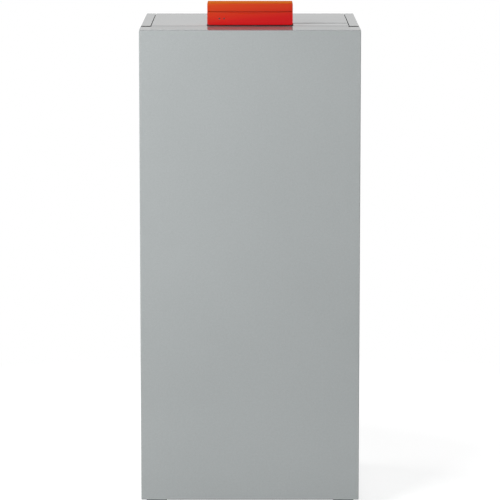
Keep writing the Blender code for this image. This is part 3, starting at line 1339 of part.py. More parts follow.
def make_hood():
    """Red hood: top, sides, back and the lip above the flap, with a recessed wall behind the grip."""
    low = (-HOOD_HALF, HOOD_FRONT, HOOD_BOTTOM)
    high = (HOOD_HALF, HOOD_REAR, HOOD_CROWN)
    hood = bevelled(box("control_hood", low, high, "red_plastic", CONTROL), HOOD_EDGE, 2)
    wall = HOOD_WALL
    near = (-CHEEK_INSIDE, HOOD_FRONT + wall, HOOD_BOTTOM - OVERRUN)
    cut(hood, box("hood_space", near, (CHEEK_INSIDE, HOOD_REAR - wall, HOOD_CROWN - wall)))
    reach = HOOD_HALF + OVERRUN
    near = (-reach, HOOD_FRONT - OVERRUN, HOOD_BOTTOM - OVERRUN)
    cut(hood, box("flap_space", near, (reach, FLAP_BACK + FIT_GAP, LIP_BOTTOM)))
    side = CHEEK_INSIDE + JOIN
    near = (-side, HOOD_FRONT + RECESS_SETBACK, CASING_TOP + RECESS_BOTTOM)
    far = (side, HOOD_FRONT + RECESS_SETBACK + wall, HOOD_CROWN - wall + JOIN)
    join(hood, box("grip_recess", near, far))
    for name, right in (("left_pin_hole", -1), ("right_pin_hole", 1)):
        start = (right * CHEEK_INSIDE - right * OVERRUN, HINGE_Y, HINGE_Z)
        turn = (0, math.radians(90 * right), 0)
        length = OVERRUN + PIN_ANCHOR
        cut(hood, rod(name, HINGE_PIN + FIT_GAP / 2, start, length, PIN_SIDES, turn))


def flap_outline():
    """The flap's front outline: a shallow curved dip along the top for fingers, and a notched
    corner at each end of the hinge, where the flap swings past the hood's cheeks."""
    side = CHEEK_INSIDE - FIT_GAP
    notch = HINGE_Z + HINGE_BACK - FLAP_THICKNESS
    points = [
        (-side, HOOD_BOTTOM),
        (side, HOOD_BOTTOM),
        (side, notch),
        (HOOD_HALF, notch),
        (HOOD_HALF, FLAP_TOP),
    ]
    dip = GROOVE_MIDDLE - GROOVE_END
    for step in range(1, GRIP_POINTS):
        share = step / GRIP_POINTS
        x = HOOD_HALF * (1 - 2 * share)
        points.append((x, FLAP_TOP - dip * math.sin(math.pi * share)))
    points.append((-HOOD_HALF, FLAP_TOP))
    points.append((-HOOD_HALF, notch))
    points.append((-side, notch))
    return points


def make_flap():
    """Flap over the controls, hinged at its lower edge, with two lamp windows."""
    pivot = Vector((0, HINGE_Y, HINGE_Z))
    mesh = bmesh.new()
    ring_points = [mesh.verts.new(Vector((x, HOOD_FRONT, z)) - pivot) for x, z in flap_outline()]
    front = mesh.faces.new(ring_points)
    made = bmesh.ops.extrude_face_region(mesh, geom=[front])
    moved = [item for item in made["geom"] if isinstance(item, bmesh.types.BMVert)]
    bmesh.ops.translate(mesh, vec=(0, FLAP_THICKNESS, 0), verts=moved)
    bmesh.ops.recalc_face_normals(mesh, faces=mesh.faces)
    flap = put("control_flap", finish_mesh(mesh, "control_flap"), pivot, "red_plastic", CONTROL)
    for index, x in enumerate(LAMP_PLACES):
        start = (x, HOOD_FRONT - OVERRUN, CASING_TOP + LAMP_HEIGHT)
        length = FLAP_THICKNESS + 2 * OVERRUN
        cut(flap, rod(f"lamp_window_{index}", LAMP_WINDOW, start, length, PIN_SIDES, TO_REAR))
    half = LUG_SIZE / 2
    outer = CHEEK_INSIDE - LUG_SIDE_GAP
    for name, right in (("left", -1), ("right", 1)):
        near = (right * (outer - LUG_WIDTH), FLAP_BACK - JOIN, HINGE_Z - half)
        join(flap, box(name + "_lug", near, (right * outer, HINGE_Y + half, HINGE_Z + half)))
        turn = (0, math.radians(90 * right), 0)
        hole_start = (right * (outer - LUG_WIDTH - OVERRUN), HINGE_Y, HINGE_Z)
        length = LUG_WIDTH + 2 * OVERRUN
        cut(flap, rod(name + "_lug_bore", HINGE_PIN + FIT_GAP / 2, hole_start, length, PIN_SIDES, turn))
        pin_start = (right * (outer - LUG_WIDTH), HINGE_Y, HINGE_Z)
        length = LUG_WIDTH + LUG_SIDE_GAP + PIN_ANCHOR - FIT_GAP
        finish = "galvanised_steel"
        rod(f"hinge_pin_{name}", HINGE_PIN, pin_start, length, PIN_SIDES, turn, finish, CONTROL)


def fascia_hole(fascia, name, x, radius, sides=KNOB_SIDES):
    start = (x, FASCIA_FRONT - OVERRUN, CONTROL_LEVEL)
    length = FASCIA_THICKNESS + 2 * OVERRUN
    cut(fascia, rod(name, radius, start, length, sides, TO_REAR))


def make_fascia():
    """Control fascia behind the flap, with its display and lamps."""
    half = CHEEK_INSIDE - FIT_GAP
    bottom = BASE_TOP + FIT_GAP
    near = (-half, FASCIA_FRONT, bottom)
    far = (half, FASCIA_FRONT + FASCIA_THICKNESS, HOOD_CROWN - HOOD_WALL - FIT_GAP)
    fascia = box("control_fascia", near, far, "grey_plastic", CONTROL)
    width, height = DISPLAY_SIZE
    gap = FIT_GAP
    x = DISPLAY_PLACE
    front = FASCIA_FRONT - DISPLAY_DEPTH * DISPLAY_STAND_SHARE
    near = (x - width / 2, front, CONTROL_LEVEL - height / 2)
    far = (x + width / 2, front + DISPLAY_DEPTH, CONTROL_LEVEL + height / 2)
    box("display_window", near, far, "clear_glass", CONTROL)
    near = (near[0] - gap, FASCIA_FRONT - OVERRUN, near[2] - gap)
    far = (far[0] + gap, FASCIA_FRONT + FASCIA_THICKNESS + OVERRUN, far[2] + gap)
    cut(fascia, box("display_hole", near, far))
    for index, place in enumerate(LAMP_PLACES):
        name = ("operation_lamp", "fault_lamp")[index]
        start = (place, FLAP_BACK + FIT_GAP, CASING_TOP + LAMP_HEIGHT)
        length = FASCIA_FRONT - FIT_GAP - start[1]
        rod(name, LAMP_RADIUS, start, length, PIN_SIDES, TO_REAR, "clear_glass", CONTROL)
    fascia_hole(fascia, "knob_hole", KNOB_PLACE, KNOB_SHAFT + FIT_GAP)
    fascia_hole(fascia, "reset_hole", RESET_PLACE, RESET_RADIUS + FIT_GAP)
    for index, place in enumerate(BUTTON_PLACES):
        fascia_hole(fascia, f"button_hole_{index}", place, BUTTON_RADIUS + FIT_GAP)
    half_width, half_height = (size / 2 + SLIDE_GAP for size in SWITCH_SIZE)
    near = (SWITCH_PLACE - half_width, FASCIA_FRONT - OVERRUN, CONTROL_LEVEL - half_height)
    back = FASCIA_FRONT + FASCIA_THICKNESS + OVERRUN
    far = (SWITCH_PLACE + half_width, back, CONTROL_LEVEL + half_height)
    cut(fascia, box("switch_hole", near, far))


def make_push_button(name, x, radius):
    """A push button with a rim behind the fascia that keeps it in its hole."""
    rim_front = FASCIA_THICKNESS + FIT_GAP
    rim = radius + BUTTON_RIM
    profile = [
        (0, rim_front + BUTTON_RIM_THICKNESS),
        (rim, rim_front + BUTTON_RIM_THICKNESS),
        (rim, rim_front),
        (radius, rim_front),
        (radius, BUTTON_RIM - BUTTON_STAND),
        (radius - BUTTON_RIM / 2, -BUTTON_STAND),
        (0, -BUTTON_STAND),
    ]
    place = (x, FASCIA_FRONT, CONTROL_LEVEL)
    turned(name, profile, place, KNOB_SIDES, "knob_grey", CONTROL, TO_REAR)


def make_controls():
    """Knob, rocker switch, reset button and two push buttons."""
    stand = FIT_GAP
    end = stand + KNOB_LENGTH
    profile = [
        (0, end),
        (KNOB_RADIUS, end),
        (KNOB_RADIUS, stand + KNOB_SKIRT_LENGTH),
        (KNOB_SKIRT, stand + KNOB_SKIRT_LENGTH),
        (KNOB_SKIRT, stand),
        (KNOB_SHAFT, stand),
        (KNOB_SHAFT, -FASCIA_THICKNESS),
        (0, -FASCIA_THICKNESS),
    ]
    place = (KNOB_PLACE, FASCIA_FRONT, CONTROL_LEVEL)
    knob = turned("temperature_knob", profile, place, KNOB_SIDES, "knob_grey", CONTROL, TO_FRONT)
    for index in range(KNOB_FLUTES):
        turn = math.tau * (index + 0.5) / KNOB_FLUTES
        reach = KNOB_RADIUS + KNOB_FLUTE_RADIUS - KNOB_FLUTE_INSET
        start = (
            KNOB_PLACE + reach * math.cos(turn),
            FASCIA_FRONT - stand - KNOB_SKIRT_LENGTH,
            CONTROL_LEVEL + reach * math.sin(turn),
        )
        length = KNOB_LENGTH
        cut(knob, rod(f"flute_{index}", KNOB_FLUTE_RADIUS, start, length, FLUTE_SIDES, TO_FRONT))
    make_push_button("reset_button", RESET_PLACE, RESET_RADIUS)
    make_push_button("left_button", BUTTON_PLACES[0], BUTTON_RADIUS)
    make_push_button("right_button", BUTTON_PLACES[1], BUTTON_RADIUS)

    width, height = SWITCH_SIZE
    pivot = Vector((SWITCH_PLACE, FASCIA_FRONT + FASCIA_THICKNESS / 2, CONTROL_LEVEL))
    tilt = math.tan(math.radians(SWITCH_TILT / 2))
    half = height / 2
    face = FASCIA_THICKNESS / 2 + BUTTON_STAND
    inner = half - 2 * SLIDE_GAP
    outline = [
        (SWITCH_DEPTH - face, inner * tilt),
        (-face, inner),
        (-face + inner * tilt, 0),
        (-face - inner * tilt, -inner),
        (SWITCH_DEPTH - face, -inner * tilt),
    ]
    mesh = bmesh.new()
    points = [mesh.verts.new((-width / 2, y, z)) for y, z in outline]
    side = mesh.faces.new(points)
    made = bmesh.ops.extrude_face_region(mesh, geom=[side])
    moved = [item for item in made["geom"] if isinstance(item, bmesh.types.BMVert)]
    bmesh.ops.translate(mesh, vec=(width, 0, 0), verts=moved)
    bmesh.ops.recalc_face_normals(mesh, faces=mesh.faces)
    put("mains_switch", finish_mesh(mesh, "mains_switch"), pivot, "black_plastic", CONTROL)


make_base()
make_side_panels()
make_front_panel()
make_top_rail()
make_top_covers()
make_rear_panel()
make_cable_gland()
make_control_shelf()
make_vessel()
make_combustion_chamber()
make_heat_exchanger()
make_insulation()
make_burner_door()
make_fan()
make_gas_train()
make_connections()
make_flue()
make_condensate()
make_drain_valve()
make_sensor()
make_control_base()
make_hood()
make_flap()
make_fascia()
make_controls()
CUTTERS.hide_render = True
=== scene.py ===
"""Looks of a floor standing gas boiler, laid out as a Blender add-on and run as a script.

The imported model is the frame. Each operator finishes or adds one group of pieces.
Lengths are metres in the model's own frame: +Z up, the front towards -Y.
"""

import json
import math

import bmesh
import bpy
from bpy.props import FloatProperty, FloatVectorProperty, IntProperty, PointerProperty
from mathutils import Matrix, Vector

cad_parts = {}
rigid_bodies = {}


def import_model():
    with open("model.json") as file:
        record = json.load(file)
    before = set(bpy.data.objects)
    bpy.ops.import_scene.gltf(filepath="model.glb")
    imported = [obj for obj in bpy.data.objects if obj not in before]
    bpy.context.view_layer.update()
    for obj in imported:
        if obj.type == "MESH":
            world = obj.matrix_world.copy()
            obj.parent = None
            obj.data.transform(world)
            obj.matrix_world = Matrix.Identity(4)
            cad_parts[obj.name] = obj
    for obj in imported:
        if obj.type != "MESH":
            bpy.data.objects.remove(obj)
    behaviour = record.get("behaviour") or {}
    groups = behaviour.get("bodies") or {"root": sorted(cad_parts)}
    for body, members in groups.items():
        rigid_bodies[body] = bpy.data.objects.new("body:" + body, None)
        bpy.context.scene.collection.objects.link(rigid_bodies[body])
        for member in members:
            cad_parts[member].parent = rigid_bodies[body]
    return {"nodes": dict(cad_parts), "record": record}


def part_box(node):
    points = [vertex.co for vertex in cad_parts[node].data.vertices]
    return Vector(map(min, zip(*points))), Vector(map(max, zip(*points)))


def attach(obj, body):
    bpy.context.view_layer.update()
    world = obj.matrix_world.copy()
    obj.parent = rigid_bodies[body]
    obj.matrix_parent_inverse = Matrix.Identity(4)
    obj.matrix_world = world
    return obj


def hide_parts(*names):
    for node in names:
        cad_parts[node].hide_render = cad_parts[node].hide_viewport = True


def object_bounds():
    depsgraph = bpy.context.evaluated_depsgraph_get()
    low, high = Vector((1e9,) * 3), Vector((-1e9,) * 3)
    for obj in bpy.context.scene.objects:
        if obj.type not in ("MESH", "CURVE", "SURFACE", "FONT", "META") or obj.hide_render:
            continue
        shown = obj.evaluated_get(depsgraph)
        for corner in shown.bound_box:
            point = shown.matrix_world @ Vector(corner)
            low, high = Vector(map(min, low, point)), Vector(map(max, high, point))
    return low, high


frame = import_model()
CAD_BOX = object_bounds()

bl_info = {
    "name": "Floor Standing Gas Boiler",
    "version": (1, 0, 0),
    "blender": (4, 5, 0),
    "location": "View3D > Sidebar > Boiler",
    "description": "Finishes and details of a floor standing gas boiler with its control unit",
    "category": "Object",
}

STATIC = "boiler"
NODE = frame["nodes"]


def paint(name, description, default):
    return FloatVectorProperty(
        name=name, description=description, default=default, subtype="COLOR", size=3, min=0, max=1
    )


def metres(name, description, default):
    return FloatProperty(name=name, description=description, default=default, min=0, unit="LENGTH")


class BoilerColours(bpy.types.PropertyGroup):
    """Colours of the boiler's finishes, in linear light."""

    silver: paint("Silver", "Powder coat of the cabinet", (0.440, 0.468, 0.470))
    red: paint("Red", "Moulded hood and flap of the control unit", (0.70, 0.003, 0.008))
    # Painted light: this orange is blended into the red hood where light falls, on its top and towards the
    # left.
    orange: paint("Orange", "Upper edge of the control unit's hood", (0.84, 0.130, 0.010))
    black: paint("Black", "Moulded plinth, motor and fittings", (0.014, 0.014, 0.016))
    grey: paint("Grey", "Control fascia and condensate pipe", (0.20, 0.21, 0.22))
    zinc: paint("Zinc", "Galvanised sheet of shelf and back", (0.50, 0.52, 0.53))
    steel: paint("Steel", "Stainless steel of the boiler vessel", (0.56, 0.56, 0.55))
    aluminium: paint("Aluminium", "Castings of burner door, fan and valve", (0.53, 0.54, 0.55))
    brass: paint("Brass", "Sensor, valve and gas fittings", (0.62, 0.43, 0.17))
    wool: paint("Wool", "Mineral wool of the jacket", (0.55, 0.50, 0.38))
    flue: paint("Flue plastic", "Flue gas collector and collar", (0.45, 0.46, 0.45))
    yellow: paint("Gas yellow", "Paint of the gas pipe", (0.72, 0.50, 0.03))
    board: paint("Circuit board", "Lacquer of the circuit board", (0.015, 0.13, 0.05))


class BoilerSizes(bpy.types.PropertyGroup):
    """Sizes of the details that the finished pieces carry."""

    edge: metres("Edge", "Rounding of moulded and cast edges", 0.0007)
    bend: metres("Bend", "Outer radius of the front panel's bends", 0.003)
    sheet: metres("Sheet", "Thickness of the cabinet's sheet steel", 0.0015)
    screw_head: metres("Screw head", "Radius of the panel screws' heads", 0.0048)
    thread_pitch: metres("Thread pitch", "Pitch of the connections' threads", 0.0023)
    thread_depth: metres("Thread depth", "Depth of the connections' threads", 0.0009)
    door_bolts: IntProperty(name="Door bolts", description="Nuts round the burner door", default=8, min=3)
    motor_ribs: IntProperty(name="Motor ribs", description="Cooling ribs of the fan motor", default=20, min=4)
    panel_seam: metres("Panel seam", "Gap between the front panel's returns and the rail", 0.003)
    foot_pad: metres("Foot pad", "Thickness of the levelling feet's pads", 0.009)
    foot_neck: metres("Foot neck", "Corner radius of the feet's hexagons", 0.009)
    foot_stem: metres("Foot stem", "Radius of the feet's threaded stems", 0.0046)
    display_rim: metres("Display rim", "Dark rim of the display window", 0.002)
    dial_radius: metres("Dial radius", "Inner ends of the dial's ticks", 0.0124)
    dial_tick: metres("Dial tick", "Length of the dial's ticks", 0.0012)
    dial_figures: metres("Dial figures", "Height of the dial's figures", 0.0026)
    knob_radius: metres("Knob radius", "Temperature knob without its skirt", 0.0105)
    knob_length: metres("Knob length", "Temperature knob with its skirt", 0.015)
    knob_skirt: metres("Knob skirt", "Thickness of the knob's skirt", 0.003)
    knob_shaft: metres("Knob shaft", "Radius of the knob's shaft", 0.003)
    knob_ribs: IntProperty(name="Knob ribs", description="Ribs round the temperature knob", default=30, min=6)
    button_rim: metres("Button rim", "Width of the rim behind the fascia", 0.001)
    nut: metres("Nut", "Corner radius of the small nuts", 0.0075)
    rib: metres("Rib", "Width of cast and moulded ribs", 0.004)
    door_rim: metres("Door rim", "Width of the burner door's flat rim", 0.018)
    door_rim_step: metres("Door rim step", "Drop from the door's face to its rim", 0.004)
    electrode_rod: metres("Electrode rod", "Radius of the electrodes' rods", 0.0015)
    electrode_terminal: metres("Electrode terminal", "Bare end of the electrodes", 0.017)
    gauze_radius: metres("Gauze radius", "Radius of the burner drum", 0.062)
    gauze_hole: metres("Gauze hole", "Radius of the burner drum's holes", 0.0014)
    sight_pane: metres("Sight pane", "Radius of the sight glass's pane", 0.008)
    motor_step: metres("Motor step", "Step of the fan motor's cap", 0.010)
    motor_bore: metres("Motor bore", "Radius of the hole for the fan's shaft", 0.0043)
    fan_radius: metres("Fan radius", "Radius of the fan housing", 0.060)
    mixer_flange: metres("Mixer flange", "Thickness of the mixer's flange", 0.004)
    mixer_bore: metres("Mixer bore", "Radius of the mixer's mouth", 0.024)
    silencer_wall: metres("Silencer wall", "Thickness of the silencer's wall", 0.003)
    valve_width: metres("Valve width", "Width of the gas valve without its coil", 0.056)
    gas_pipe: metres("Gas pipe", "Radius of the gas pipe", 0.0095)
    pipe_nut: metres("Pipe nut", "Corner radius of the gas pipe's nuts", 0.0140)
    strap: metres("Strap", "Width of the jacket's foil straps", 0.040)
    sensor_radius: metres("Sensor radius", "Radius of the sensor's shaft", 0.007)
    sensor_hex: metres("Sensor hexagon", "Height of the sensor's hexagon", 0.010)
    stub_collar: metres("Stub collar", "Reach of the connections' hexagons over the pipe", 0.006)
    stub_hexagon: metres("Stub hexagon", "Length of the connections' hexagons", 0.014)
    water_bore: metres("Water bore", "Radius of the flow and return bores", 0.0185)
    safety_bore: metres("Safety bore", "Radius of the safety connection's bore", 0.0160)
    gas_bore: metres("Gas bore", "Radius of the gas connection's bore", 0.0100)
    gland_bore: metres("Gland bore", "Radius of the cable gland's bore", 0.005)
    gland_thread: metres("Gland thread", "Radius of the cable gland's thread", 0.010)
    flue_height: metres("Flue height", "Axis of the flue collar above the floor", 0.340)
    flue_bore: metres("Flue bore", "Radius of the flue collar's bore", 0.051)
    test_cap: metres("Test cap", "Height of the test plug's cap", 0.006)
    test_pin: metres("Test pin", "Radius of the test plug's pin", 0.0047)
    clamp: metres("Clamp", "Width of the hose clamps", 0.008)
    vent_columns: IntProperty(name="Vent columns", description="Vent slots side by side", default=14, min=1)
    vent_rows: IntProperty(name="Vent rows", description="Rows of vent slots", default=3, min=1)


class BoilerStage(bpy.types.PropertyGroup):
    """Camera, light and floor."""

    distance: metres("Distance", "From the camera to the front panel", 9.0)
    height: metres("Height", "Camera above the floor", 2.1581)
    pitch: FloatProperty(
        name="Pitch", description="Camera looks down", default=math.radians(8.535), subtype="ANGLE"
    )
    lens: FloatProperty(name="Lens", description="Focal length on a 36 mm frame", default=218.42, min=1)
    floor: paint("Floor", "Pale floor round the boiler", (0.80, 0.80, 0.80))


def sizes():
    return bpy.context.scene.boiler_sizes


def chosen(name):
    """A colour as set in the sidebar."""
    return tuple(getattr(bpy.context.scene.boiler_colours, name))


# Trees of nodes


class NodeTree:
    """Short ways to add nodes to a tree and to join them."""

    def node(self, kind, inputs=None, **values):
        node = self.tree.nodes.new(kind)
        for key, value in values.items():
            setattr(node, key, value)
        for key, value in (inputs or {}).items():
            self.feed(node.inputs[key], value)
        return node

    def feed(self, socket, value):
        if isinstance(value, bpy.types.NodeSocket):
            self.tree.links.new(value, socket)
        else:
            socket.default_value = value

    def math(self, operation, first, second=0.0):
        return self.node("ShaderNodeMath", {0: first, 1: second}, operation=operation).outputs[0]


# Materials

EVEN = (1, 1, 1)


class Finish(NodeTree):
    """A procedural material, patterned in the model's own frame."""

    def __init__(self, name, **constants):
        self.material = bpy.data.materials.new(name)
        self.material.use_nodes = True
        self.tree = self.material.node_tree
        self.shader = self.tree.nodes["Principled BSDF"]
        self.place = self.node("ShaderNodeTexCoord").outputs["Object"]
        self.noises = {}
        self.set(**constants)

    def set(self, **values):
        for key, value in values.items():
            self.feed(self.shader.inputs[key.replace("_", " ")], value)

    def noise(self, scale, detail=3.0, stretch=EVEN, rough=0.5):
        """Soft noise. The same settings give the same node again."""
        key = (scale, detail, stretch, rough)
        if key not in self.noises:
            place = self.place
            if stretch != EVEN:
                place = self.node("ShaderNodeMapping", {"Vector": place, "Scale": stretch}).outputs["Vector"]
            inputs = {"Vector": place, "Scale": scale, "Detail": detail, "Roughness": rough}
            self.noises[key] = self.node("ShaderNodeTexNoise", inputs).outputs["Fac"]
        return self.noises[key]

    def cells(self, scale, feature="F1", output="Distance"):
        inputs = {"Vector": self.place, "Scale": scale}
        return self.node("ShaderNodeTexVoronoi", inputs, feature=feature).outputs[output]

    def span(self, value, low, high, start=0.0, end=1.0):
        """The value's range from start to end, laid out from low to high."""
        inputs = {"Value": value, "From Min": start, "From Max": end, "To Min": low, "To Max": high}
        return self.node("ShaderNodeMapRange", inputs).outputs["Result"]

    def ramp(self, value, *stops):
        ramp = self.node("ShaderNodeValToRGB", {"Fac": value})
        elements = ramp.color_ramp.elements
        while len(elements) < len(stops):
            elements.new(0.5)
        for element, (position, colour) in zip(elements, stops):
            element.position = position
            element.color = (*colour, 1)
        return ramp.outputs["Color"]

    def bump(self, height, strength, distance, after=None):
        inputs = {"Height": height, "Strength": strength, "Distance": distance}
        if after is not None:
            inputs["Normal"] = after
        return self.node("ShaderNodeBump", inputs).outputs["Normal"]

    def axis(self, index):
        return self.node("ShaderNodeSeparateXYZ", {"Vector": self.place}).outputs[index]


def tones(colour, dark, light, start=0.3, end=0.7):
    """Two stops of a ramp: the colour made darker and lighter by the given shares."""
    low = tuple(part * dark for part in colour)
    high = tuple(min(1.0, part * light) for part in colour)
    return (start, low), (end, high)


def silver_paint():
    """Fine textured silver powder coat under a clear layer."""
    finish = Finish("silver_powder_coat", Metallic=0.06, Specular_IOR_Level=0.0)
    tone = finish.ramp(finish.noise(2.5, 2), *tones(chosen("silver"), 0.985, 1.015))
    fine = finish.span(finish.cells(1100, output="Color"), 0.94, 1.06)
    coarse = finish.span(finish.noise(190, 2), 0.965, 1.035, 0.2, 0.8)
    inputs = {0: tone, "Scale": finish.math("MULTIPLY", fine, coarse)}
    mixed = finish.node("ShaderNodeVectorMath", inputs, operation="SCALE")
    finish.set(Base_Color=mixed.outputs[0], Roughness=finish.span(finish.noise(380, 2), 0.32, 0.44))
    finish.set(Coat_Weight=0.70, Coat_Roughness=0.04, Coat_IOR=1.5)
    finish.set(Normal=finish.bump(finish.noise(900, 2), 0.10, 0.0002))
    return finish.material


def red_plastic():
    """Red moulding with painted light: orange blended in towards the left, the top and on the top face, where
    light falls; a matt top and an orange sheen.
    """
    finish = Finish("red_moulding", Specular_IOR_Level=0.0)
    low, high = low_high("control_hood")
    top = high.z - sizes().edge
    matt = finish.span(finish.axis(2), 0.0, 1.0, top - 0.0006, top)
    # Painted light: orange grows with height, towards the left, and on the top face through the matt mask,
    # where light falls.
    share = finish.span(finish.axis(2), 0.0, 0.8, low.z, high.z)
    across = finish.span(finish.axis(0), 0.14, -0.14, low.x, high.x)
    for part in (across, finish.span(finish.noise(9), -0.03, 0.03), finish.span(matt, 0.0, 0.4)):
        share = finish.math("ADD", share, part)
    ends = list(zip(chosen("red"), chosen("orange")))
    painted_light_blend = [tuple(a + (b - a) * part for a, b in ends) for part in (0.0, 0.04, 0.26, 0.50, 1.0)]
    finish.set(Base_Color=finish.ramp(share, *zip((0.0, 0.2, 0.48, 0.82, 0.96), painted_light_blend)))
    finish.set(Roughness=finish.span(finish.noise(240, 2), 0.30, 0.42))
    finish.set(Coat_Weight=finish.span(matt, 0.3, 0.0), Coat_Roughness=0.10)
    finish.set(Sheen_Weight=0.55, Sheen_Roughness=0.45, Sheen_Tint=(1.0, 0.28, 0.04, 1.0))
    finish.set(Normal=finish.bump(finish.noise(1400, 2), 0.06, 0.0001))
    return finish.material


def galvanised():
    """Zinc coat with large, soft spangles."""
    finish = Finish("galvanised_sheet", Metallic=0.9)
    spangle = finish.cells(55, output="Color")
    grey = finish.node("ShaderNodeRGBToBW", {"Color": spangle}).outputs["Val"]
    finish.set(Base_Color=finish.ramp(grey, *tones(chosen("zinc"), 0.89, 1.08, 0.1, 0.9)))
    finish.set(Roughness=finish.span(grey, 0.38, 0.50))
    finish.set(Normal=finish.bump(finish.noise(420), 0.08, 0.0003))
    return finish.material


def mineral_wool():
    """Felted yellow-brown wool, matt and lumpy."""
    finish = Finish("mineral_wool", Roughness=0.95, Sheen_Weight=0.3, Sheen_Roughness=0.6)
    fibres = finish.noise(240, 8, (1, 3, 1), 0.75)
    finish.set(Base_Color=finish.ramp(fibres, *tones(chosen("wool"), 0.72, 1.16)))
    finish.set(Normal=finish.bump(fibres, 0.7, 0.001, finish.bump(finish.noise(24, 4), 0.5, 0.003)))
    return finish.material


def circuit_board():
    """Green lacquer over a net of copper tracks."""
    finish = Finish("circuit_lacquer", Roughness=0.3, Coat_Weight=0.6, Coat_Roughness=0.15)
    green = chosen("board")
    lighter = tuple(min(1.0, part * 2.2 + 0.01) for part in green)
    tracks = finish.cells(190, feature="DISTANCE_TO_EDGE")
    finish.set(Base_Color=finish.ramp(tracks, (0.04, lighter), (0.09, green)))
    finish.set(Normal=finish.bump(tracks, 0.2, 0.0001))
    return finish.material


def lit_display():
    """Pale green liquid crystal panel with a fine pixel grid."""
    finish = Finish("display_panel", Roughness=0.35, Coat_Weight=0.5, Coat_Roughness=0.1)
    stops = (0.3, (0.16, 0.22, 0.15)), (0.7, (0.21, 0.28, 0.19))
    finish.set(Base_Color=finish.ramp(finish.noise(30, 2), *stops))
    finish.set(Normal=finish.bump(finish.cells(2400), 0.1, 0.0001))
    return finish.material


def simple(name, tone, stops, rough=None, relief=None, **constants):
    """A finish whose colour, roughness and relief each follow one noise, given by its settings."""
    finish = Finish(name, **constants)
    finish.set(Base_Color=finish.ramp(finish.noise(*tone), *stops))
    if rough:
        finish.set(Roughness=finish.span(finish.noise(*rough[0]), *rough[1:]))
    if relief:
        finish.set(Normal=finish.bump(finish.noise(*relief[0]), *relief[1:]))
    return finish.material


def moulded(name, tint, roughness, grain=0.35):
    """Moulded plastic with a spark-eroded grain."""
    rough = ((160,), roughness - 0.07, roughness + 0.07)
    relief = ((1300, 3, EVEN, 0.6), grain, 0.0002)
    return simple(name, (14,), tones(tint, 0.86, 1.14), rough, relief)


def printed(name, tint):
    """Screen print on the fascia."""
    return simple(name, (300,), tones(tint, 0.88, 1.05), Roughness=0.45)


def tinted(name, tint):
    """Lens of an indicator lamp that is off."""
    constants = {"Roughness": 0.12, "Coat_Weight": 0.6, "Coat_Roughness": 0.05}
    return simple(name, (200, 2), tones(tint, 0.8, 1.2), **constants)


def black_paint():
    """Black stove paint, a little rubbed."""
    wear = (30, 6, EVEN, 0.7)
    stops = (0.35, (0.014, 0.014, 0.015)), (0.75, (0.05, 0.05, 0.052))
    return simple("black_stove_paint", wear, stops, (wear, 0.38, 0.62), ((700,), 0.3, 0.0003), Metallic=0.1)


def rolled_steel():
    """Stainless sheet with the fine lines of the rolling mill."""
    lines = (60, 4, (1, 1, 40))
    stops = tones(chosen("steel"), 0.9, 1.08)
    return simple("rolled_stainless", lines, stops, (lines, 0.22, 0.40), (lines, 0.07, 0.0002), Metallic=1.0)


def sand_cast():
    """Sand cast aluminium with pores."""
    skin = (260, 6, EVEN, 0.65)
    stops = tones(chosen("aluminium"), 0.84, 1.08)
    return simple("cast_aluminium", (18, 4), stops, (skin, 0.40, 0.62), (skin, 0.45, 0.0005), Metallic=0.9)


def turned_brass():
    """Turned brass with faint rings."""
    rings = (900, 2, (0.2, 0.2, 1))
    stops = tones(chosen("brass"), 0.86, 1.08)
    return simple("machined_brass", (40,), stops, (rings, 0.20, 0.36), (rings, 0.08, 0.0001), Metallic=1.0)


def foil():
    """Creased aluminium foil of the jacket's straps."""
    creases = (90, 6, EVEN, 0.7)
    stops = tones((0.68, 0.68, 0.69), 0.84, 1.1)
    return simple("foil_strap", creases, stops, (creases, 0.22, 0.45), (creases, 0.5, 0.0008), Metallic=1.0)


def ceramic_fibre():
    """White ceramic fibre of the burner door's lining."""
    fibres = (320, 6, EVEN, 0.7)
    stops = tones((0.76, 0.74, 0.68), 0.84, 1.06)
    return simple("ceramic_fibre", fibres, stops, None, (fibres, 0.5, 0.0006), Roughness=0.95)


def glazed_ceramic():
    """Glazed white insulator."""
    constants = {"Roughness": 0.14, "Coat_Weight": 0.5, "Coat_Roughness": 0.05}
    return simple("glazed_ceramic", (120,), tones((0.82, 0.80, 0.74), 0.95, 1.03), **constants)


def black_rubber():
    """Matt black rubber with bloom."""
    stops = tones((0.028, 0.028, 0.028), 0.7, 1.5)
    return simple("black_rubber", (70, 5), stops, None, ((900,), 0.3, 0.0002), Roughness=0.8)


def clear_glass():
    """Dark clear window."""
    constants = {"Roughness": 0.04, "Transmission_Weight": 0.35, "IOR": 1.49}
    return simple("clear_window", (60, 2), tones((0.07, 0.08, 0.08), 0.9, 1.1), **constants)


def yellow_paint():
    """Yellow paint over a steel pipe."""
    stops = tones(chosen("yellow"), 0.86, 1.08)
    return simple("gas_pipe_paint", (26, 4), stops, ((140,), 0.32, 0.5), ((500,), 0.15, 0.0003))


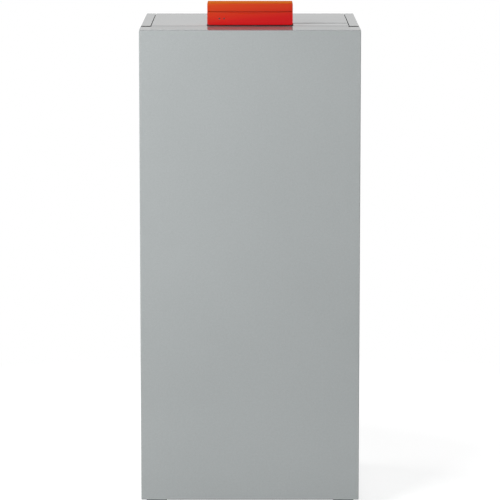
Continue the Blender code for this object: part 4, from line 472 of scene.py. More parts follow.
MAKERS = {
    "silver_paint": silver_paint,
    "red_plastic": red_plastic,
    "black_plastic": lambda: moulded("black_moulding", chosen("black"), 0.48),
    "grey_plastic": lambda: moulded("grey_moulding", chosen("grey"), 0.52),
    "knob_grey": lambda: moulded("knob_moulding", (0.27, 0.28, 0.29), 0.45, 0.25),
    "flue_plastic": lambda: moulded("flue_moulding", chosen("flue"), 0.55, 0.2),
    "galvanised_steel": galvanised,
    "black_steel": black_paint,
    "stainless_steel": rolled_steel,
    "cast_aluminium": sand_cast,
    "mineral_wool": mineral_wool,
    "ceramic_fibre": ceramic_fibre,
    "white_ceramic": glazed_ceramic,
    "brass": turned_brass,
    "gasket_rubber": black_rubber,
    "clear_glass": clear_glass,
    "circuit_green": circuit_board,
    "gas_yellow": yellow_paint,
    "display": lit_display,
    "white_print": lambda: printed("white_print", (0.72, 0.72, 0.70)),
    "black_print": lambda: printed("black_print", (0.03, 0.03, 0.03)),
    "green_lens": lambda: tinted("green_lens", (0.02, 0.10, 0.03)),
    "red_lens": lambda: tinted("red_lens", (0.12, 0.01, 0.01)),
    "dark_lens": lambda: tinted("dark_lens", (0.02, 0.008, 0.008)),
    "foil": foil,
}
MADE = {}


def finish_of(name):
    """The material of that name, made at its first use."""
    if name not in MADE:
        MADE[name] = MAKERS[name]()
    return MADE[name]


# Mesh building

RECORD = frame["record"]
SLOT_OF = {entry["node"]: entry["material_slot"] for entry in RECORD["subparts"]}
SLOTS = set(SLOT_OF.values())
BODIES = RECORD["behaviour"]["bodies"]
BODY_OF = {node: body for body, nodes in BODIES.items() for node in nodes}
WELD = 0.00001
FLAT_ANGLE = math.radians(0.5)
BEVEL_ANGLE = math.radians(42)
SHARP_ANGLE = math.radians(38)
ROUND = 64
PRINT = 0.00015
TO_FRONT = Matrix.Rotation(math.radians(90), 4, "X")
ORIGIN = Vector()
LEFT, RIGHT, FRONT, REAR, DOWN, UP = (
    Vector(axis) for axis in ((-1, 0, 0), (1, 0, 0), (0, -1, 0), (0, 1, 0), (0, 0, -1), (0, 0, 1))
)


def low_high(node):
    """Lowest and highest corner of a CAD solid."""
    low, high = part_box(node)
    return Vector(low), Vector(high)


def middle(node):
    low, high = low_high(node)
    return (low + high) / 2


def axis_of(node, direction):
    """Where a round CAD solid starts, seen in the direction, with its radius and its reach."""
    low, high = low_high(node)
    root = (low + high) / 2
    index = max(range(3), key=lambda axis: abs(direction[axis]))
    root[index] = low[index] if direction[index] > 0 else high[index]
    return root, (high.x - low.x) / 2, high[index] - low[index]


def at(place, direction=UP):
    """The matrix that sets a shape built on +Z at a place, facing the direction."""
    return Matrix.Translation(place) @ UP.rotation_difference(direction).to_matrix().to_4x4()


def clean(mesh, reach):
    """Merges corners within reach and puts each flat face in one piece."""
    bmesh.ops.remove_doubles(mesh, verts=mesh.verts, dist=reach)
    bmesh.ops.dissolve_limit(mesh, angle_limit=FLAT_ANGLE, verts=mesh.verts, edges=mesh.edges)


def solid(node):
    """A merged copy of a CAD solid."""
    mesh = bmesh.new()
    mesh.from_mesh(NODE[node].data)
    clean(mesh, WELD)
    return mesh


def bevel(mesh, edges, width, steps):
    bmesh.ops.bevel(mesh, geom=edges, offset=width, segments=steps, profile=0.5, affect="EDGES")


def soften(mesh, width, steps=2, verts=None, above=0.0):
    """Rounds the sharp edges, all or those between the vertices, unless they lie below a level."""
    chosen = set(mesh.verts if verts is None else verts)
    sharp = []
    for edge in mesh.edges:
        if edge.is_manifold and chosen.issuperset(edge.verts) and edge.calc_face_angle(0) > BEVEL_ANGLE:
            if not above or max(vert.co.z for vert in edge.verts) > above:
                sharp.append(edge)
    bevel(mesh, sharp, width, steps)


def keep_within(mesh, low, high):
    """Takes back the corners of narrow parts that the rounding pushed out of the box."""
    for vert in mesh.verts:
        vert.co = [min(max(value, start), end) for value, start, end in zip(vert.co, low, high)]


def cut(mesh, place, normal):
    """Splits all faces at a plane and gives the edges and corners that lie on it."""
    parts = mesh.verts[:] + mesh.edges[:] + mesh.faces[:]
    return bmesh.ops.bisect_plane(mesh, geom=parts, plane_co=place, plane_no=normal)["geom_cut"]


def show(name, data):
    """A new object in the scene."""
    thing = bpy.data.objects.new(name, data)
    bpy.context.scene.collection.objects.link(thing)
    return thing


def held(mesh, name):
    """A new object in place of an edit mesh."""
    data = bpy.data.meshes.new(name)
    mesh.to_mesh(data)
    mesh.free()
    return show(name, data)


def evaluated(piece):
    """The mesh that an object's modifiers make."""
    return bpy.data.meshes.new_from_object(piece.evaluated_get(bpy.context.evaluated_depsgraph_get()))


def absorb(mesh, piece, place=None):
    """Adds what an object's modifiers make to an edit mesh, and removes the object."""
    made = evaluated(piece)
    if place:
        made.transform(place)
    mesh.from_mesh(made)
    bpy.data.batch_remove([piece, piece.data, made])
    return mesh


def publish(mesh, name, look, body=STATIC, slot=None, replaced=()):
    """Turns an edit mesh into a finished piece that moves with a body. The slot, given or found from the
    look, is worked out but not used.
    """
    for face in mesh.faces:
        face.smooth = True
    for edge in mesh.edges:
        edge.smooth = edge.is_manifold and edge.calc_face_angle(0) < SHARP_ANGLE
    piece = held(mesh, name)
    data = piece.data
    data.materials.append(finish_of(look))
    weights = piece.modifiers.new("normals", "WEIGHTED_NORMAL")
    weights.keep_sharp = True
    weights.weight = 100
    weighted = evaluated(piece)
    piece.modifiers.clear()
    piece.data = weighted
    bpy.data.meshes.remove(data)
    weighted.name = name
    if replaced:
        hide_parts(*replaced)
    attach(piece, body)
    slot = slot or (look if look in SLOTS else None)


def stand_for(node, mesh):
    """A finished piece in place of a CAD solid."""
    slot = SLOT_OF[node]
    publish(mesh, node + "_finished", slot, BODY_OF[node], slot, (node,))


def refine(node, edge=0.0, steps=2, extra=None):
    """The CAD solid itself, finished: edges rounded, round faces smooth."""
    mesh = solid(node)
    if edge:
        soften(mesh, edge, steps)
        keep_within(mesh, *low_high(node))
    if extra:
        extra(mesh)
    stand_for(node, mesh)


def lathe(mesh, profile, place=ORIGIN, direction=UP, count=ROUND):
    """Adds a turned body. The profile holds (radius, along) pairs and ends on the axis or on itself."""
    turn = at(place, direction)
    rings = []
    for radius, along in profile:
        around = count if radius else 1
        angles = [step * math.tau / count for step in range(around)]
        spots = [Vector((radius * math.cos(angle), radius * math.sin(angle), along)) for angle in angles]
        rings.append([mesh.verts.new(turn @ spot) for spot in spots])
    hollow = profile[0][0] and profile[-1][0]
    made = []
    for first, second in zip(rings, rings[1:] + (rings[:1] if hollow else [])):
        for step in range(count):
            after = (step + 1) % count
            corners = [first[step % len(first)], first[after % len(first)]]
            corners += [second[after % len(second)], second[step % len(second)]]
            made.append(mesh.faces.new(list(dict.fromkeys(corners))))
    bmesh.ops.recalc_face_normals(mesh, faces=made)
    return mesh


def scaled(pairs, radius, reach):
    """Profile points given as shares of a radius and a reach."""
    return [(wide * radius, along * reach) for wide, along in pairs]


def tip(pairs, radius, reach, unit=None):
    """Profile points at shares of a radius, each set back from the end by a share of the unit."""
    unit = unit or radius
    return [(wide * radius, reach - back * unit) for wide, back in pairs]


def disc(radius, end, start=0.0, inner=0.0):
    """Profile of a plain cylinder, or of a ring round the inner radius."""
    return [(inner, start), (radius, start), (radius, end), (inner, end)]


def rounded_end(radius, inner, top, steps=6):
    """Profile points of a quarter round from the side up to the flat top, at radius inner."""
    turns = [step * math.pi / 2 / steps for step in range(steps, -1, -1)]
    return [(inner + radius * math.sin(turn), top - radius + radius * math.cos(turn)) for turn in turns]


def block(mesh, low, high, edge=0.0, steps=2):
    """Adds a box with rounded edges."""
    low, high = Vector(low), Vector(high)
    place = Matrix.Translation((low + high) / 2) @ Matrix.Diagonal((*(high - low), 1))
    verts = bmesh.ops.create_cube(mesh, size=1, matrix=place)["verts"]
    if edge:
        soften(mesh, edge, steps, verts)
    return mesh


def post(half_x, half_y, start, end, edge=0.0, steps=2):
    """A new box on +Z, centred across."""
    return block(bmesh.new(), (-half_x, -half_y, start), (half_x, half_y, end), edge, steps)


def stroke(mesh, x, z, face, across, up, behind=0.0):
    """Adds a flat printed bar in front of a face."""
    return block(mesh, (x - across, face - PRINT, z - up), (x + across, face + behind, z + up))


def lettering(mesh, text, height, centre):
    """Adds plain printed figures that face the front."""
    curve = bpy.data.curves.new("figures", "FONT")
    curve.body = text
    curve.size = height
    curve.extrude = PRINT / 2
    curve.align_x = "CENTER"
    curve.align_y = "CENTER"
    curve.resolution_u = 3
    absorb(mesh, show("figures", curve), Matrix.Translation(centre) @ TO_FRONT)


# Geometry Nodes for what repeats


class Recipe(NodeTree):
    """A modifier's tree with named inputs. It repeats the geometry that it is given."""

    def __init__(self, name, **inputs):
        self.tree = bpy.data.node_groups.new(name, "GeometryNodeTree")
        self.tree.is_modifier = True
        sockets = self.tree.interface
        sockets.new_socket("Geometry", in_out="INPUT", socket_type="NodeSocketGeometry")
        for label, default in inputs.items():
            kind = "NodeSocketInt" if isinstance(default, int) else "NodeSocketFloat"
            socket = sockets.new_socket(label.replace("_", " "), in_out="INPUT", socket_type=kind)
            socket.default_value = default
        sockets.new_socket("Material", in_out="INPUT", socket_type="NodeSocketMaterial")
        sockets.new_socket("Geometry", in_out="OUTPUT", socket_type="NodeSocketGeometry")
        self.given = self.node("NodeGroupInput").outputs

    def repeat(self, spots, place, turn):
        """The given geometry at each of the spots."""
        points = self.node("GeometryNodePoints", {"Count": spots, "Position": place})
        inputs = {"Points": points.outputs[0], "Instance": self.given["Geometry"], "Rotation": turn}
        return self.node("GeometryNodeInstanceOnPoints", inputs).outputs["Instances"]

    def spot(self, x, y, z):
        return self.node("ShaderNodeCombineXYZ", {"X": x, "Y": y, "Z": z}).outputs["Vector"]

    def index(self):
        return self.node("GeometryNodeInputIndex").outputs["Index"]

    def end(self, geometry):
        real = self.node("GeometryNodeRealizeInstances", {"Geometry": geometry}).outputs["Geometry"]
        inputs = {"Geometry": real, "Material": self.given["Material"]}
        painted = self.node("GeometryNodeSetMaterial", inputs).outputs["Geometry"]
        self.node("NodeGroupOutput", {"Geometry": painted})
        return self


def grid_recipe():
    """Rows and columns in the XY plane, centred on the origin."""
    recipe = Recipe("grid", Columns=2, Rows=2, Pitch_X=0.01, Pitch_Y=0.01)
    given = recipe.given
    column = recipe.math("MODULO", recipe.index(), given["Columns"])
    row = recipe.math("FLOOR", recipe.math("DIVIDE", recipe.index(), given["Columns"]))
    middle_x = recipe.math("DIVIDE", recipe.math("SUBTRACT", given["Columns"], 1), 2)
    middle_y = recipe.math("DIVIDE", recipe.math("SUBTRACT", given["Rows"], 1), 2)
    x = recipe.math("MULTIPLY", recipe.math("SUBTRACT", column, middle_x), given["Pitch X"])
    y = recipe.math("MULTIPLY", recipe.math("SUBTRACT", row, middle_y), given["Pitch Y"])
    count = recipe.math("MULTIPLY", given["Columns"], given["Rows"])
    return recipe.end(recipe.repeat(count, recipe.spot(x, y, 0.0), recipe.spot(0.0, 0.0, 0.0)))


def ring_recipe():
    """Copies round the Z axis, in rows along it, each row turned by the twist."""
    recipe = Recipe("ring", Count=8, Step=0.785398, Start=0.0, Radius=0.01, Rows=1, Pitch=0.01, Twist=0.0)
    given = recipe.given
    place = recipe.math("MODULO", recipe.index(), given["Count"])
    row = recipe.math("FLOOR", recipe.math("DIVIDE", recipe.index(), given["Count"]))
    angle = recipe.math("MULTIPLY_ADD", place, given["Step"])
    angle.node.inputs[2].default_value = 0.0
    angle = recipe.math("ADD", angle, given["Start"])
    angle = recipe.math("ADD", angle, recipe.math("MULTIPLY", row, given["Twist"]))
    x = recipe.math("MULTIPLY", given["Radius"], recipe.math("COSINE", angle))
    y = recipe.math("MULTIPLY", given["Radius"], recipe.math("SINE", angle))
    z = recipe.math("MULTIPLY", row, given["Pitch"])
    count = recipe.math("MULTIPLY", given["Count"], given["Rows"])
    return recipe.end(recipe.repeat(count, recipe.spot(x, y, z), recipe.spot(0.0, 0.0, angle)))


def thread_recipe():
    """A helical ridge on the Z axis, added to the given body."""
    recipe = Recipe("thread", Radius=0.01, Pitch=0.002, Turns=5.0, Depth=0.0005, Start=0.0)
    given = recipe.given
    height = recipe.math("MULTIPLY", given["Pitch"], given["Turns"])
    inputs = {"Resolution": 40, "Rotations": given["Turns"], "Start Radius": given["Radius"]}
    inputs |= {"End Radius": given["Radius"], "Height": height}
    helix = recipe.node("GeometryNodeCurveSpiral", inputs).outputs["Curve"]
    ridge = recipe.node("GeometryNodeCurvePrimitiveCircle", {"Resolution": 4, "Radius": given["Depth"]})
    inputs = {"Curve": helix, "Profile Curve": ridge.outputs["Curve"], "Fill Caps": True}
    swept = recipe.node("GeometryNodeCurveToMesh", inputs).outputs["Mesh"]
    lift = recipe.spot(0.0, 0.0, given["Start"])
    moved = recipe.node("GeometryNodeTransform", {"Geometry": swept, "Translation": lift}).outputs["Geometry"]
    both = recipe.node("GeometryNodeJoinGeometry")
    recipe.tree.links.new(recipe.given["Geometry"], both.inputs["Geometry"])
    recipe.tree.links.new(moved, both.inputs["Geometry"])
    return recipe.end(both.outputs["Geometry"])


RECIPE_OF = {"grid": grid_recipe, "ring": ring_recipe, "thread": thread_recipe}
RECIPES = {}


def grow(mesh, kind, unit, look, place, values):
    """Adds what a recipe makes of the unit shape to a mesh, moved to its place."""
    if kind not in RECIPES:
        RECIPES[kind] = RECIPE_OF[kind]()
    tree = RECIPES[kind].tree
    host = held(unit, "unit")
    modifier = host.modifiers.new(kind, "NODES")
    modifier.node_group = tree
    values = {"Material": finish_of(look), **values}
    for item in tree.interface.items_tree:
        if item.in_out == "INPUT" and item.name in values:
            modifier[item.identifier] = values[item.name]
    return absorb(mesh, host, place)


def ring(mesh, unit, look, place, count, radius, start=0.0, **more):
    """Adds copies of the unit shape round an axis."""
    values = {"Count": count, "Step": math.tau / count, "Radius": radius, "Start": start, **more}
    return grow(mesh, "ring", unit, look, place, values)


def grid(mesh, unit, look, place, counts, pitches):
    """Adds columns and rows of the unit shape."""
    labels = ("Columns", "Rows", "Pitch X", "Pitch Y")
    return grow(mesh, "grid", unit, look, place, dict(zip(labels, (*counts, *pitches))))


# Cabinet

STUD_INSET = 0.0145
STUD_SHARES = (0.15, 0.85)
STUD_RADIUS = 0.0045
SCREW_INSET = 0.012
SCREW_GRIDS = ((2, 7), (4, 2))
VENT_WIDTH = 0.006
VENT_LENGTH = 0.038
VENT_RISE = 0.0024
VENT_PITCH = (0.021, 0.052)
VENT_PLACE = (0.062, 1.320)
RAIL_RISE = 0.0023
RAIL_RAMP = 0.003
SEAM_SHADE_RISE = 0.0002
SEAM_SHADE_GAP = 0.0004
COVER_LIP_HEIGHT = 0.0008
COVER_LIP_DEPTH = 0.0020
COVER_LIP_GAP = 0.0026
NARROW = 0.28
STRIP_SHADE_INSET = 0.0016
STRIP_SHADE_SETBACK = 0.0185
STRIP_SHADE_LENGTH = 0.006
SHADE_DROP = 0.004
STRIP_SHADE_RISE = 0.0008


def shell(mesh, thickness):
    """The open surface, thickened inwards, as a new edit mesh."""
    holder = held(mesh, "shell")
    solidify = holder.modifiers.new("sheet", "SOLIDIFY")
    solidify.thickness = thickness
    solidify.offset = -1
    solidify.use_even_offset = True
    return absorb(bmesh.new(), holder)


def make_front_panel():
    """Folded tray with rounded front edges, on four studs with a groove for their springs."""
    low, high = low_high("front_panel")
    size = sizes()
    back = low_high("top_front_rail")[0].y - size.panel_seam
    mesh = block(bmesh.new(), low, (high.x, back, high.z))
    rear = max(mesh.faces, key=lambda face: face.calc_center_median().y)
    bmesh.ops.delete(mesh, geom=[rear], context="FACES_ONLY")
    bevel(mesh, [edge for edge in mesh.edges if edge.is_manifold], size.bend, 6)
    mesh = shell(mesh, size.sheet)
    grooved = ((1, 3), (0.7, 2.8), (0.7, 1.6), (1, 1.4), (1, 0.6), (0.4, 0), (0, 0))
    for share in STUD_SHARES:
        for x in (low.x + STUD_INSET, high.x - STUD_INSET):
            root = Vector((x, low.y + size.sheet / 2, low.z + (high.z - low.z) * share))
            profile = [(0, 0), (STUD_RADIUS, 0), *tip(grooved, STUD_RADIUS, high.y - root.y)]
            lathe(mesh, profile, root, REAR, 24)
    stand_for("front_panel", mesh)


def slope_rail(mesh):
    """Lets the top front rail's upper face rise towards the back, between the side panels' strips."""
    low, high = low_high("top_front_rail")
    reach = low_high("top_cover")[1].x
    for x in (-reach, RAIL_RAMP - reach, reach - RAIL_RAMP, reach):
        cut(mesh, (x, 0, 0), RIGHT)
    for vert in mesh.verts:
        if vert.co.z > high.z - sizes().sheet / 2:
            inside = min(1.0, max(0.0, (reach - abs(vert.co.x)) / RAIL_RAMP))
            vert.co.z += RAIL_RISE * inside * (vert.co.y - low.y) / (high.y - low.y)


def make_top_seam_shade():
    """Painted shade: a black rubber strip filling the seam between the top front rail and the top cover."""
    front = low_high("top_front_rail")[1]
    cover_low, cover_high = low_high("top_cover")
    near = (-cover_high.x, front.y + SEAM_SHADE_GAP, front.z - SHADE_DROP)
    far = (cover_high.x, cover_low.y - SEAM_SHADE_GAP, front.z + RAIL_RISE + SEAM_SHADE_RISE)
    # Painted shade: a black block in the seam, standing in for the shade that falls there.
    publish(block(bmesh.new(), near, far, SEAM_SHADE_GAP, 3), "top_seam_seal", "gasket_rubber")


def add_cover_lip(mesh):
    """Low hem along the top cover's edge behind the connection cover."""
    lid_low, lid_high = low_high("connection_cover")
    high = low_high("top_cover")[1]
    near = (lid_low.x, lid_high.y + COVER_LIP_GAP, high.z - sizes().sheet)
    far = (high.x, near[1] + COVER_LIP_DEPTH, high.z + COVER_LIP_HEIGHT)
    block(mesh, near, far, COVER_LIP_DEPTH * 0.3, 3)


def make_strip_end_shade():
    """Painted shade: black rubber blocks over the front ends of the side panels' top flanges, standing in for
    the shade in their open ends.
    """
    mesh = bmesh.new()
    front = low_high("top_front_rail")[1].y + STRIP_SHADE_SETBACK
    for node, side in (("side_panel_left", -1), ("side_panel_right", 1)):
        low, high = low_high(node)
        outer = side * (max(abs(low.x), abs(high.x)) - STRIP_SHADE_INSET)
        inner = side * (min(abs(low.x), abs(high.x)) + STRIP_SHADE_INSET / 4)
        near = (min(outer, inner), front, high.z - SHADE_DROP)
        far = (max(outer, inner), front + STRIP_SHADE_LENGTH, high.z + STRIP_SHADE_RISE)
        # Painted shade: a black block at each flange's open end.
        block(mesh, near, far, STRIP_SHADE_RISE / 2, 3)
    publish(mesh, "strip_edge_guards", "gasket_rubber")


def screw_unit(radius):
    """A hexagon head with its washer, on +Z."""
    washer = ((0, 0), (1, 0), (1, 0.15), (0.92, 0.24), (0, 0.24))
    head = ((0, 0.2), (0.72, 0.2), (0.72, 0.62), (0.58, 0.7), (0, 0.7))
    mesh = lathe(bmesh.new(), scaled(washer, radius, radius), count=24)
    return lathe(mesh, scaled(head, radius, radius), count=6)


def make_rear_fittings():
    """Screws along the rear panel's edges, and pressed vent slots with black strips of painted shade in their
    openings.
    """
    low, high = low_high("rear_panel")
    size = sizes()
    centre = Vector((0, high.y, (low.z + high.z) / 2))
    wide = high.x - low.x - 2 * SCREW_INSET
    tall = high.z - low.z - 2 * SCREW_INSET
    mesh = bmesh.new()
    for columns, rows in SCREW_GRIDS:
        pitches = (wide / (columns - 1), tall / (rows - 1))
        unit = screw_unit(size.screw_head)
        grid(mesh, unit, "galvanised_steel", at(centre, REAR), (columns, rows), pitches)
    publish(mesh, "rear_panel_screws", "galvanised_steel")
    hood = post(VENT_WIDTH / 2, VENT_LENGTH / 2, 0, VENT_RISE, VENT_RISE * 0.9, 4)
    # Painted shade: a black strip beside each vent hood stands in for the shade in its opening.
    near = (VENT_WIDTH / 2, -VENT_LENGTH * 0.42, 0)
    far = (VENT_WIDTH * 0.72, VENT_LENGTH * 0.42, VENT_RISE * 0.2)
    painted_shade_slit = block(bmesh.new(), near, far, VENT_RISE * 0.05)
    place = at(Vector((VENT_PLACE[0], high.y, VENT_PLACE[1])), REAR)
    counts = (size.vent_columns, size.vent_rows)
    for name, unit, look in (("hoods", hood, "galvanised_steel"), ("slits", painted_shade_slit, "black_plastic")):
        publish(grid(bmesh.new(), unit, look, place, counts, VENT_PITCH), "rear_vent_" + name, look)


class BOILER_OT_cabinet(bpy.types.Operator):
    """Finish the cabinet: front, sides, rail, covers, back and the shelf inside"""

    bl_idname = "boiler.cabinet"
    bl_label = "Cabinet"
    bl_options = {"REGISTER", "UNDO"}

    def execute(self, context):
        edge = context.scene.boiler_sizes.edge
        make_front_panel()
        refine("top_front_rail", edge, 3, slope_rail)
        make_top_seam_shade()
        refine("top_cover", edge, 3, add_cover_lip)
        refine("connection_cover", edge, 3)
        make_strip_end_shade()
        for node in ("side_panel_left", "side_panel_right"):
            refine(node, edge * NARROW)
        for node in ("rear_panel", "control_shelf"):
            refine(node, edge / 2)
        make_rear_fittings()
        return {"FINISHED"}


# Base

PAD_SHARE = 0.4
FIT_GAP = 0.0005


def make_foot(node):
    """Levelling foot: rubber sole, steel pad, hexagon neck and threaded stem."""
    centre, radius, reach = axis_of(node, UP)
    size = sizes()
    pad, neck, stem = size.foot_pad, size.foot_neck, size.foot_stem
    under_frame = low_high("base_frame")[0].z - centre.z
    plate = ((0, PAD_SHARE), (0.98, PAD_SHARE), (1, 0.6), (0.94, 0.86), (0.7, 1))
    profile = scaled(plate, radius, pad) + [(stem, pad)]
    profile += [(stem, reach - stem * 0.3), (stem * 0.7, reach), (0, reach)]
    turned = lathe(bmesh.new(), profile, count=48)
    lathe(turned, disc(neck, under_frame - FIT_GAP, pad * 0.95), count=6)
    pitch = size.thread_pitch / 2
    start = under_frame + pitch
    values = {"Radius": stem, "Pitch": pitch, "Depth": pitch * 0.35, "Start": start}
    values["Turns"] = (reach - start - 2 * pitch) / pitch
    stand_for(node, grow(bmesh.new(), "thread", turned, "galvanised_steel", at(centre), values))
    sole = ((0, 0), (0.93, 0), (1, 0.12), (1, 0.34), (0.96, PAD_SHARE), (0, PAD_SHARE))
    mesh = lathe(bmesh.new(), scaled(sole, radius, pad), centre, UP, 48)
    publish(mesh, node + "_sole", "gasket_rubber", BODY_OF[node])


class BOILER_OT_base(bpy.types.Operator):
    """Finish the base frame and its four levelling feet"""

    bl_idname = "boiler.base"
    bl_label = "Base"
    bl_options = {"REGISTER", "UNDO"}

    def execute(self, context):
        refine("base_frame", context.scene.boiler_sizes.edge)
        for node in sorted(NODE):
            if node.startswith("levelling_foot"):
                make_foot(node)
        return {"FINISHED"}


# Control unit

LAMP_WINDOW = 0.0024
HOOD_CORNER = 0.0022
FLAP_ROUNDING = 0.0024
RETURN_INSET = 0.016
RETURN_REACH = 0.0085
RETURN_SHEET = 0.0012


def make_flap_lenses():
    """Dark lenses in the flap's two lamp windows."""
    front = low_high("control_flap")[0].y + sizes().edge / 2
    mesh = bmesh.new()
    for node in ("operation_lamp", "fault_lamp"):
        centre = middle(node)
        depth = low_high(node)[0].y - front - sizes().edge / 4
        place = Vector((centre.x, front + depth, centre.z))
        lens = ((0, 0), (1, 0), (1, 1), (0.6, 1.05), (0, 1.08))
        lathe(mesh, scaled(lens, LAMP_WINDOW, depth), place, FRONT, 24)
    publish(mesh, "flap_lamp_lenses", "dark_lens", "flap", "clear_glass")


def make_flap():
    """Flap with a well rounded lower front edge and a stiffening edge behind it."""
    mesh = solid("control_flap")
    low, high = low_high("control_flap")
    corner = {vert for vert in mesh.verts if vert.co.y - low.y < WELD and vert.co.z - low.z < WELD}
    bevel(mesh, [edge for edge in mesh.edges if corner.issuperset(edge.verts)], FLAP_ROUNDING, 6)
    edge = sizes().edge
    soften(mesh, edge / 2, 3)
    near = (low.x + RETURN_INSET, low.y + FLAP_ROUNDING, low.z + edge / 8)
    far = (high.x - RETURN_INSET, low.y + RETURN_REACH, near[2] + RETURN_SHEET)
    stand_for("control_flap", block(mesh, near, far, edge / 2))


def make_hood():
    """Hood whose side edges at the top and at the bottom are well rounded."""
    mesh = solid("control_hood")
    low, high = low_high("control_hood")
    corners = []
    for edge in mesh.edges:
        first, second = (vert.co for vert in edge.verts)
        level = max(min(abs(spot.z - low.z), abs(spot.z - high.z)) for spot in (first, second))
        inset = high.x - min(abs(first.x), abs(second.x))
        if max(level, inset, abs(first.x - second.x)) < WELD:
            corners.append(edge)
    bevel(mesh, corners, HOOD_CORNER, 5)
    soften(mesh, sizes().edge / 2, 3)
    stand_for("control_hood", mesh)


class BOILER_OT_control_unit(bpy.types.Operator):
    """Finish the control unit's plinth, hood, flap and hinge"""

    bl_idname = "boiler.control_unit"
    bl_label = "Control Unit"
    bl_options = {"REGISTER", "UNDO"}

    def execute(self, context):
        make_hood()
        make_flap()
        refine("control_base", context.scene.boiler_sizes.edge / 2)
        for node in ("hinge_pin_left", "hinge_pin_right"):
            refine(node)
        make_flap_lenses()
        return {"FINISHED"}


# Fascia and what it carries

READING = "60"
SEGMENTS = {"0": "abcdef", "6": "acdefg"}
DIGIT_WIDTH = 0.0062
DIGIT_HEIGHT = 0.0115
DIGIT_BAR = 0.0011
DIGIT_STEP = 1.7 * DIGIT_WIDTH
BAR_GAP = 0.65 * DIGIT_BAR
DIAL_FIGURES = ("1", "2", "3", "4", "5", "6")
DIAL_START = math.radians(225)
DIAL_SWEEP = math.radians(270)
DIAL_TICKS = 11
TICK_WIDTH_SHARE = 0.24
FIGURES_OUT_SHARE = 2.2
KNOB_RIB_SHARE = 0.06
POINTER_SHARES = (0.415, 0.05, 0.265)
DOME_SHARES = (0.8, 0.9)


def seven_segment(mesh, digit, x, z, face):
    """A display figure made of bars."""
    half, rise = DIGIT_WIDTH / 2, DIGIT_HEIGHT / 4
    levels = {"a": 2 * rise, "g": 0.0, "d": -2 * rise}
    uprights = {"f": (-1, 1), "b": (1, 1), "e": (-1, -1), "c": (1, -1)}
    for part in SEGMENTS[digit]:
        if part in levels:
            stroke(mesh, x, z + levels[part], face, half - BAR_GAP, DIGIT_BAR / 2)
        else:
            side, level = uprights[part]
            stroke(mesh, x + side * half, z + level * rise, face, DIGIT_BAR / 2, rise - BAR_GAP)


def make_display():
    """Framed liquid crystal panel that shows a plain figure."""
    low, high = low_high("display_window")
    stand_for("display_window", block(bmesh.new(), low, high, sizes().edge / 2, 3))
    rim = Vector((sizes().display_rim, PRINT, sizes().display_rim))
    far = Vector((high.x, low.y + 2 * PRINT, high.z)) - rim
    mesh = block(bmesh.new(), low + Vector((rim.x, -PRINT, rim.z)), far)
    publish(mesh, "display_panel", "display", slot="clear_glass")
    centre = (low + high) / 2
    mesh = bmesh.new()
    for index, digit in enumerate(READING):
        x = centre.x + (index - (len(READING) - 1) / 2) * DIGIT_STEP
        seven_segment(mesh, digit, x, centre.z, low.y - PRINT)
    publish(mesh, "display_figures", "black_print")


def make_dial():
    """Ticks and plain figures printed round the temperature knob."""
    centre = middle("temperature_knob")
    centre.y = low_high("control_fascia")[0].y
    size = sizes()
    tick = size.dial_tick
    half = tick * TICK_WIDTH_SHARE / 2
    unit = block(bmesh.new(), (0, -half, 0), (tick, half, PRINT))
    values = {"Count": DIAL_TICKS, "Start": DIAL_START, "Radius": size.dial_radius}
    values["Step"] = -DIAL_SWEEP / (DIAL_TICKS - 1)
    mesh = grow(bmesh.new(), "ring", unit, "white_print", at(centre, FRONT), values)
    reach = size.dial_radius + FIGURES_OUT_SHARE * tick
    for index, figure in enumerate(DIAL_FIGURES):
        angle = DIAL_START - DIAL_SWEEP * index / (len(DIAL_FIGURES) - 1)
        spot = centre + Vector((reach * math.cos(angle), -PRINT / 2, reach * math.sin(angle)))
        lettering(mesh, figure, size.dial_figures, spot)
    publish(mesh, "temperature_dial", "white_print")


def make_knob():
    """Ribbed temperature knob with a white pointer."""
    node = "temperature_knob"
    low, high = low_high(node)
    centre, skirt, _ = axis_of(node, FRONT)
    centre.y = low_high("control_fascia")[0].y
    size = sizes()
    top, shaft = centre.y - low.y, centre.y - high.y
    body, thick = size.knob_radius, size.knob_skirt
    stand = top - size.knob_length
    rib = body * KNOB_RIB_SHARE
    profile = [(0, shaft), (size.knob_shaft, shaft), (size.knob_shaft, stand), (skirt, stand)]
    profile += [(skirt, stand + 0.6 * thick), (skirt * 0.98, stand + 0.9 * thick)]
    profile += [(body, stand + thick), (body - rib, stand + 1.2 * thick)]
    profile += rounded_end(2 * rib, body - 3 * rib, top)
    profile += [(body * 0.72, top - rib * 0.6), (0, top - rib * 0.6)]
    mesh = lathe(bmesh.new(), profile, centre, FRONT)
    unit = post(rib, rib, stand + thick, top - 2.5 * rib, rib * 0.6, 3)
    stand_for(node, ring(mesh, unit, "knob_grey", at(centre, FRONT), size.knob_ribs, body - rib))
    face = centre.y - top + rib * 0.6
    rise, half_width, half_height = (body * share for share in POINTER_SHARES)
    mesh = stroke(bmesh.new(), centre.x, centre.z + rise, face, half_width, half_height, PRINT)
    publish(mesh, node + "_pointer", "white_print", BODY_OF[node])


def make_button(node, sign):
    """Domed push button with a sign or a ring on it."""
    centre, rim, reach = axis_of(node, FRONT)
    thick = sizes().button_rim
    radius = rim - thick
    domed = ((1, 0.25), (0.93, 0.1), (0.78, 0.02), (0.7, 0), (0.6, 0.08), (0, 0.08))
    profile = [(0, 0), (rim, 0), (rim, thick), (radius, thick), *tip(domed, radius, reach)]
    stand_for(node, lathe(bmesh.new(), profile, centre, FRONT, 48))
    mesh = bmesh.new()
    x, z = centre.x, centre.z
    face = centre.y - (reach - 0.08 * radius)
    half, bar = radius * 0.36, radius * 0.08
    if sign == "ring":
        lathe(mesh, disc(half + 2 * bar, PRINT, inner=half), Vector((x, face, z)), FRONT, 32)
    else:
        stroke(mesh, x, z, face, half, bar, PRINT)
    if sign == "plus":
        stroke(mesh, x, z, face, bar, half, PRINT)
    publish(mesh, node + "_sign", "white_print", BODY_OF[node])


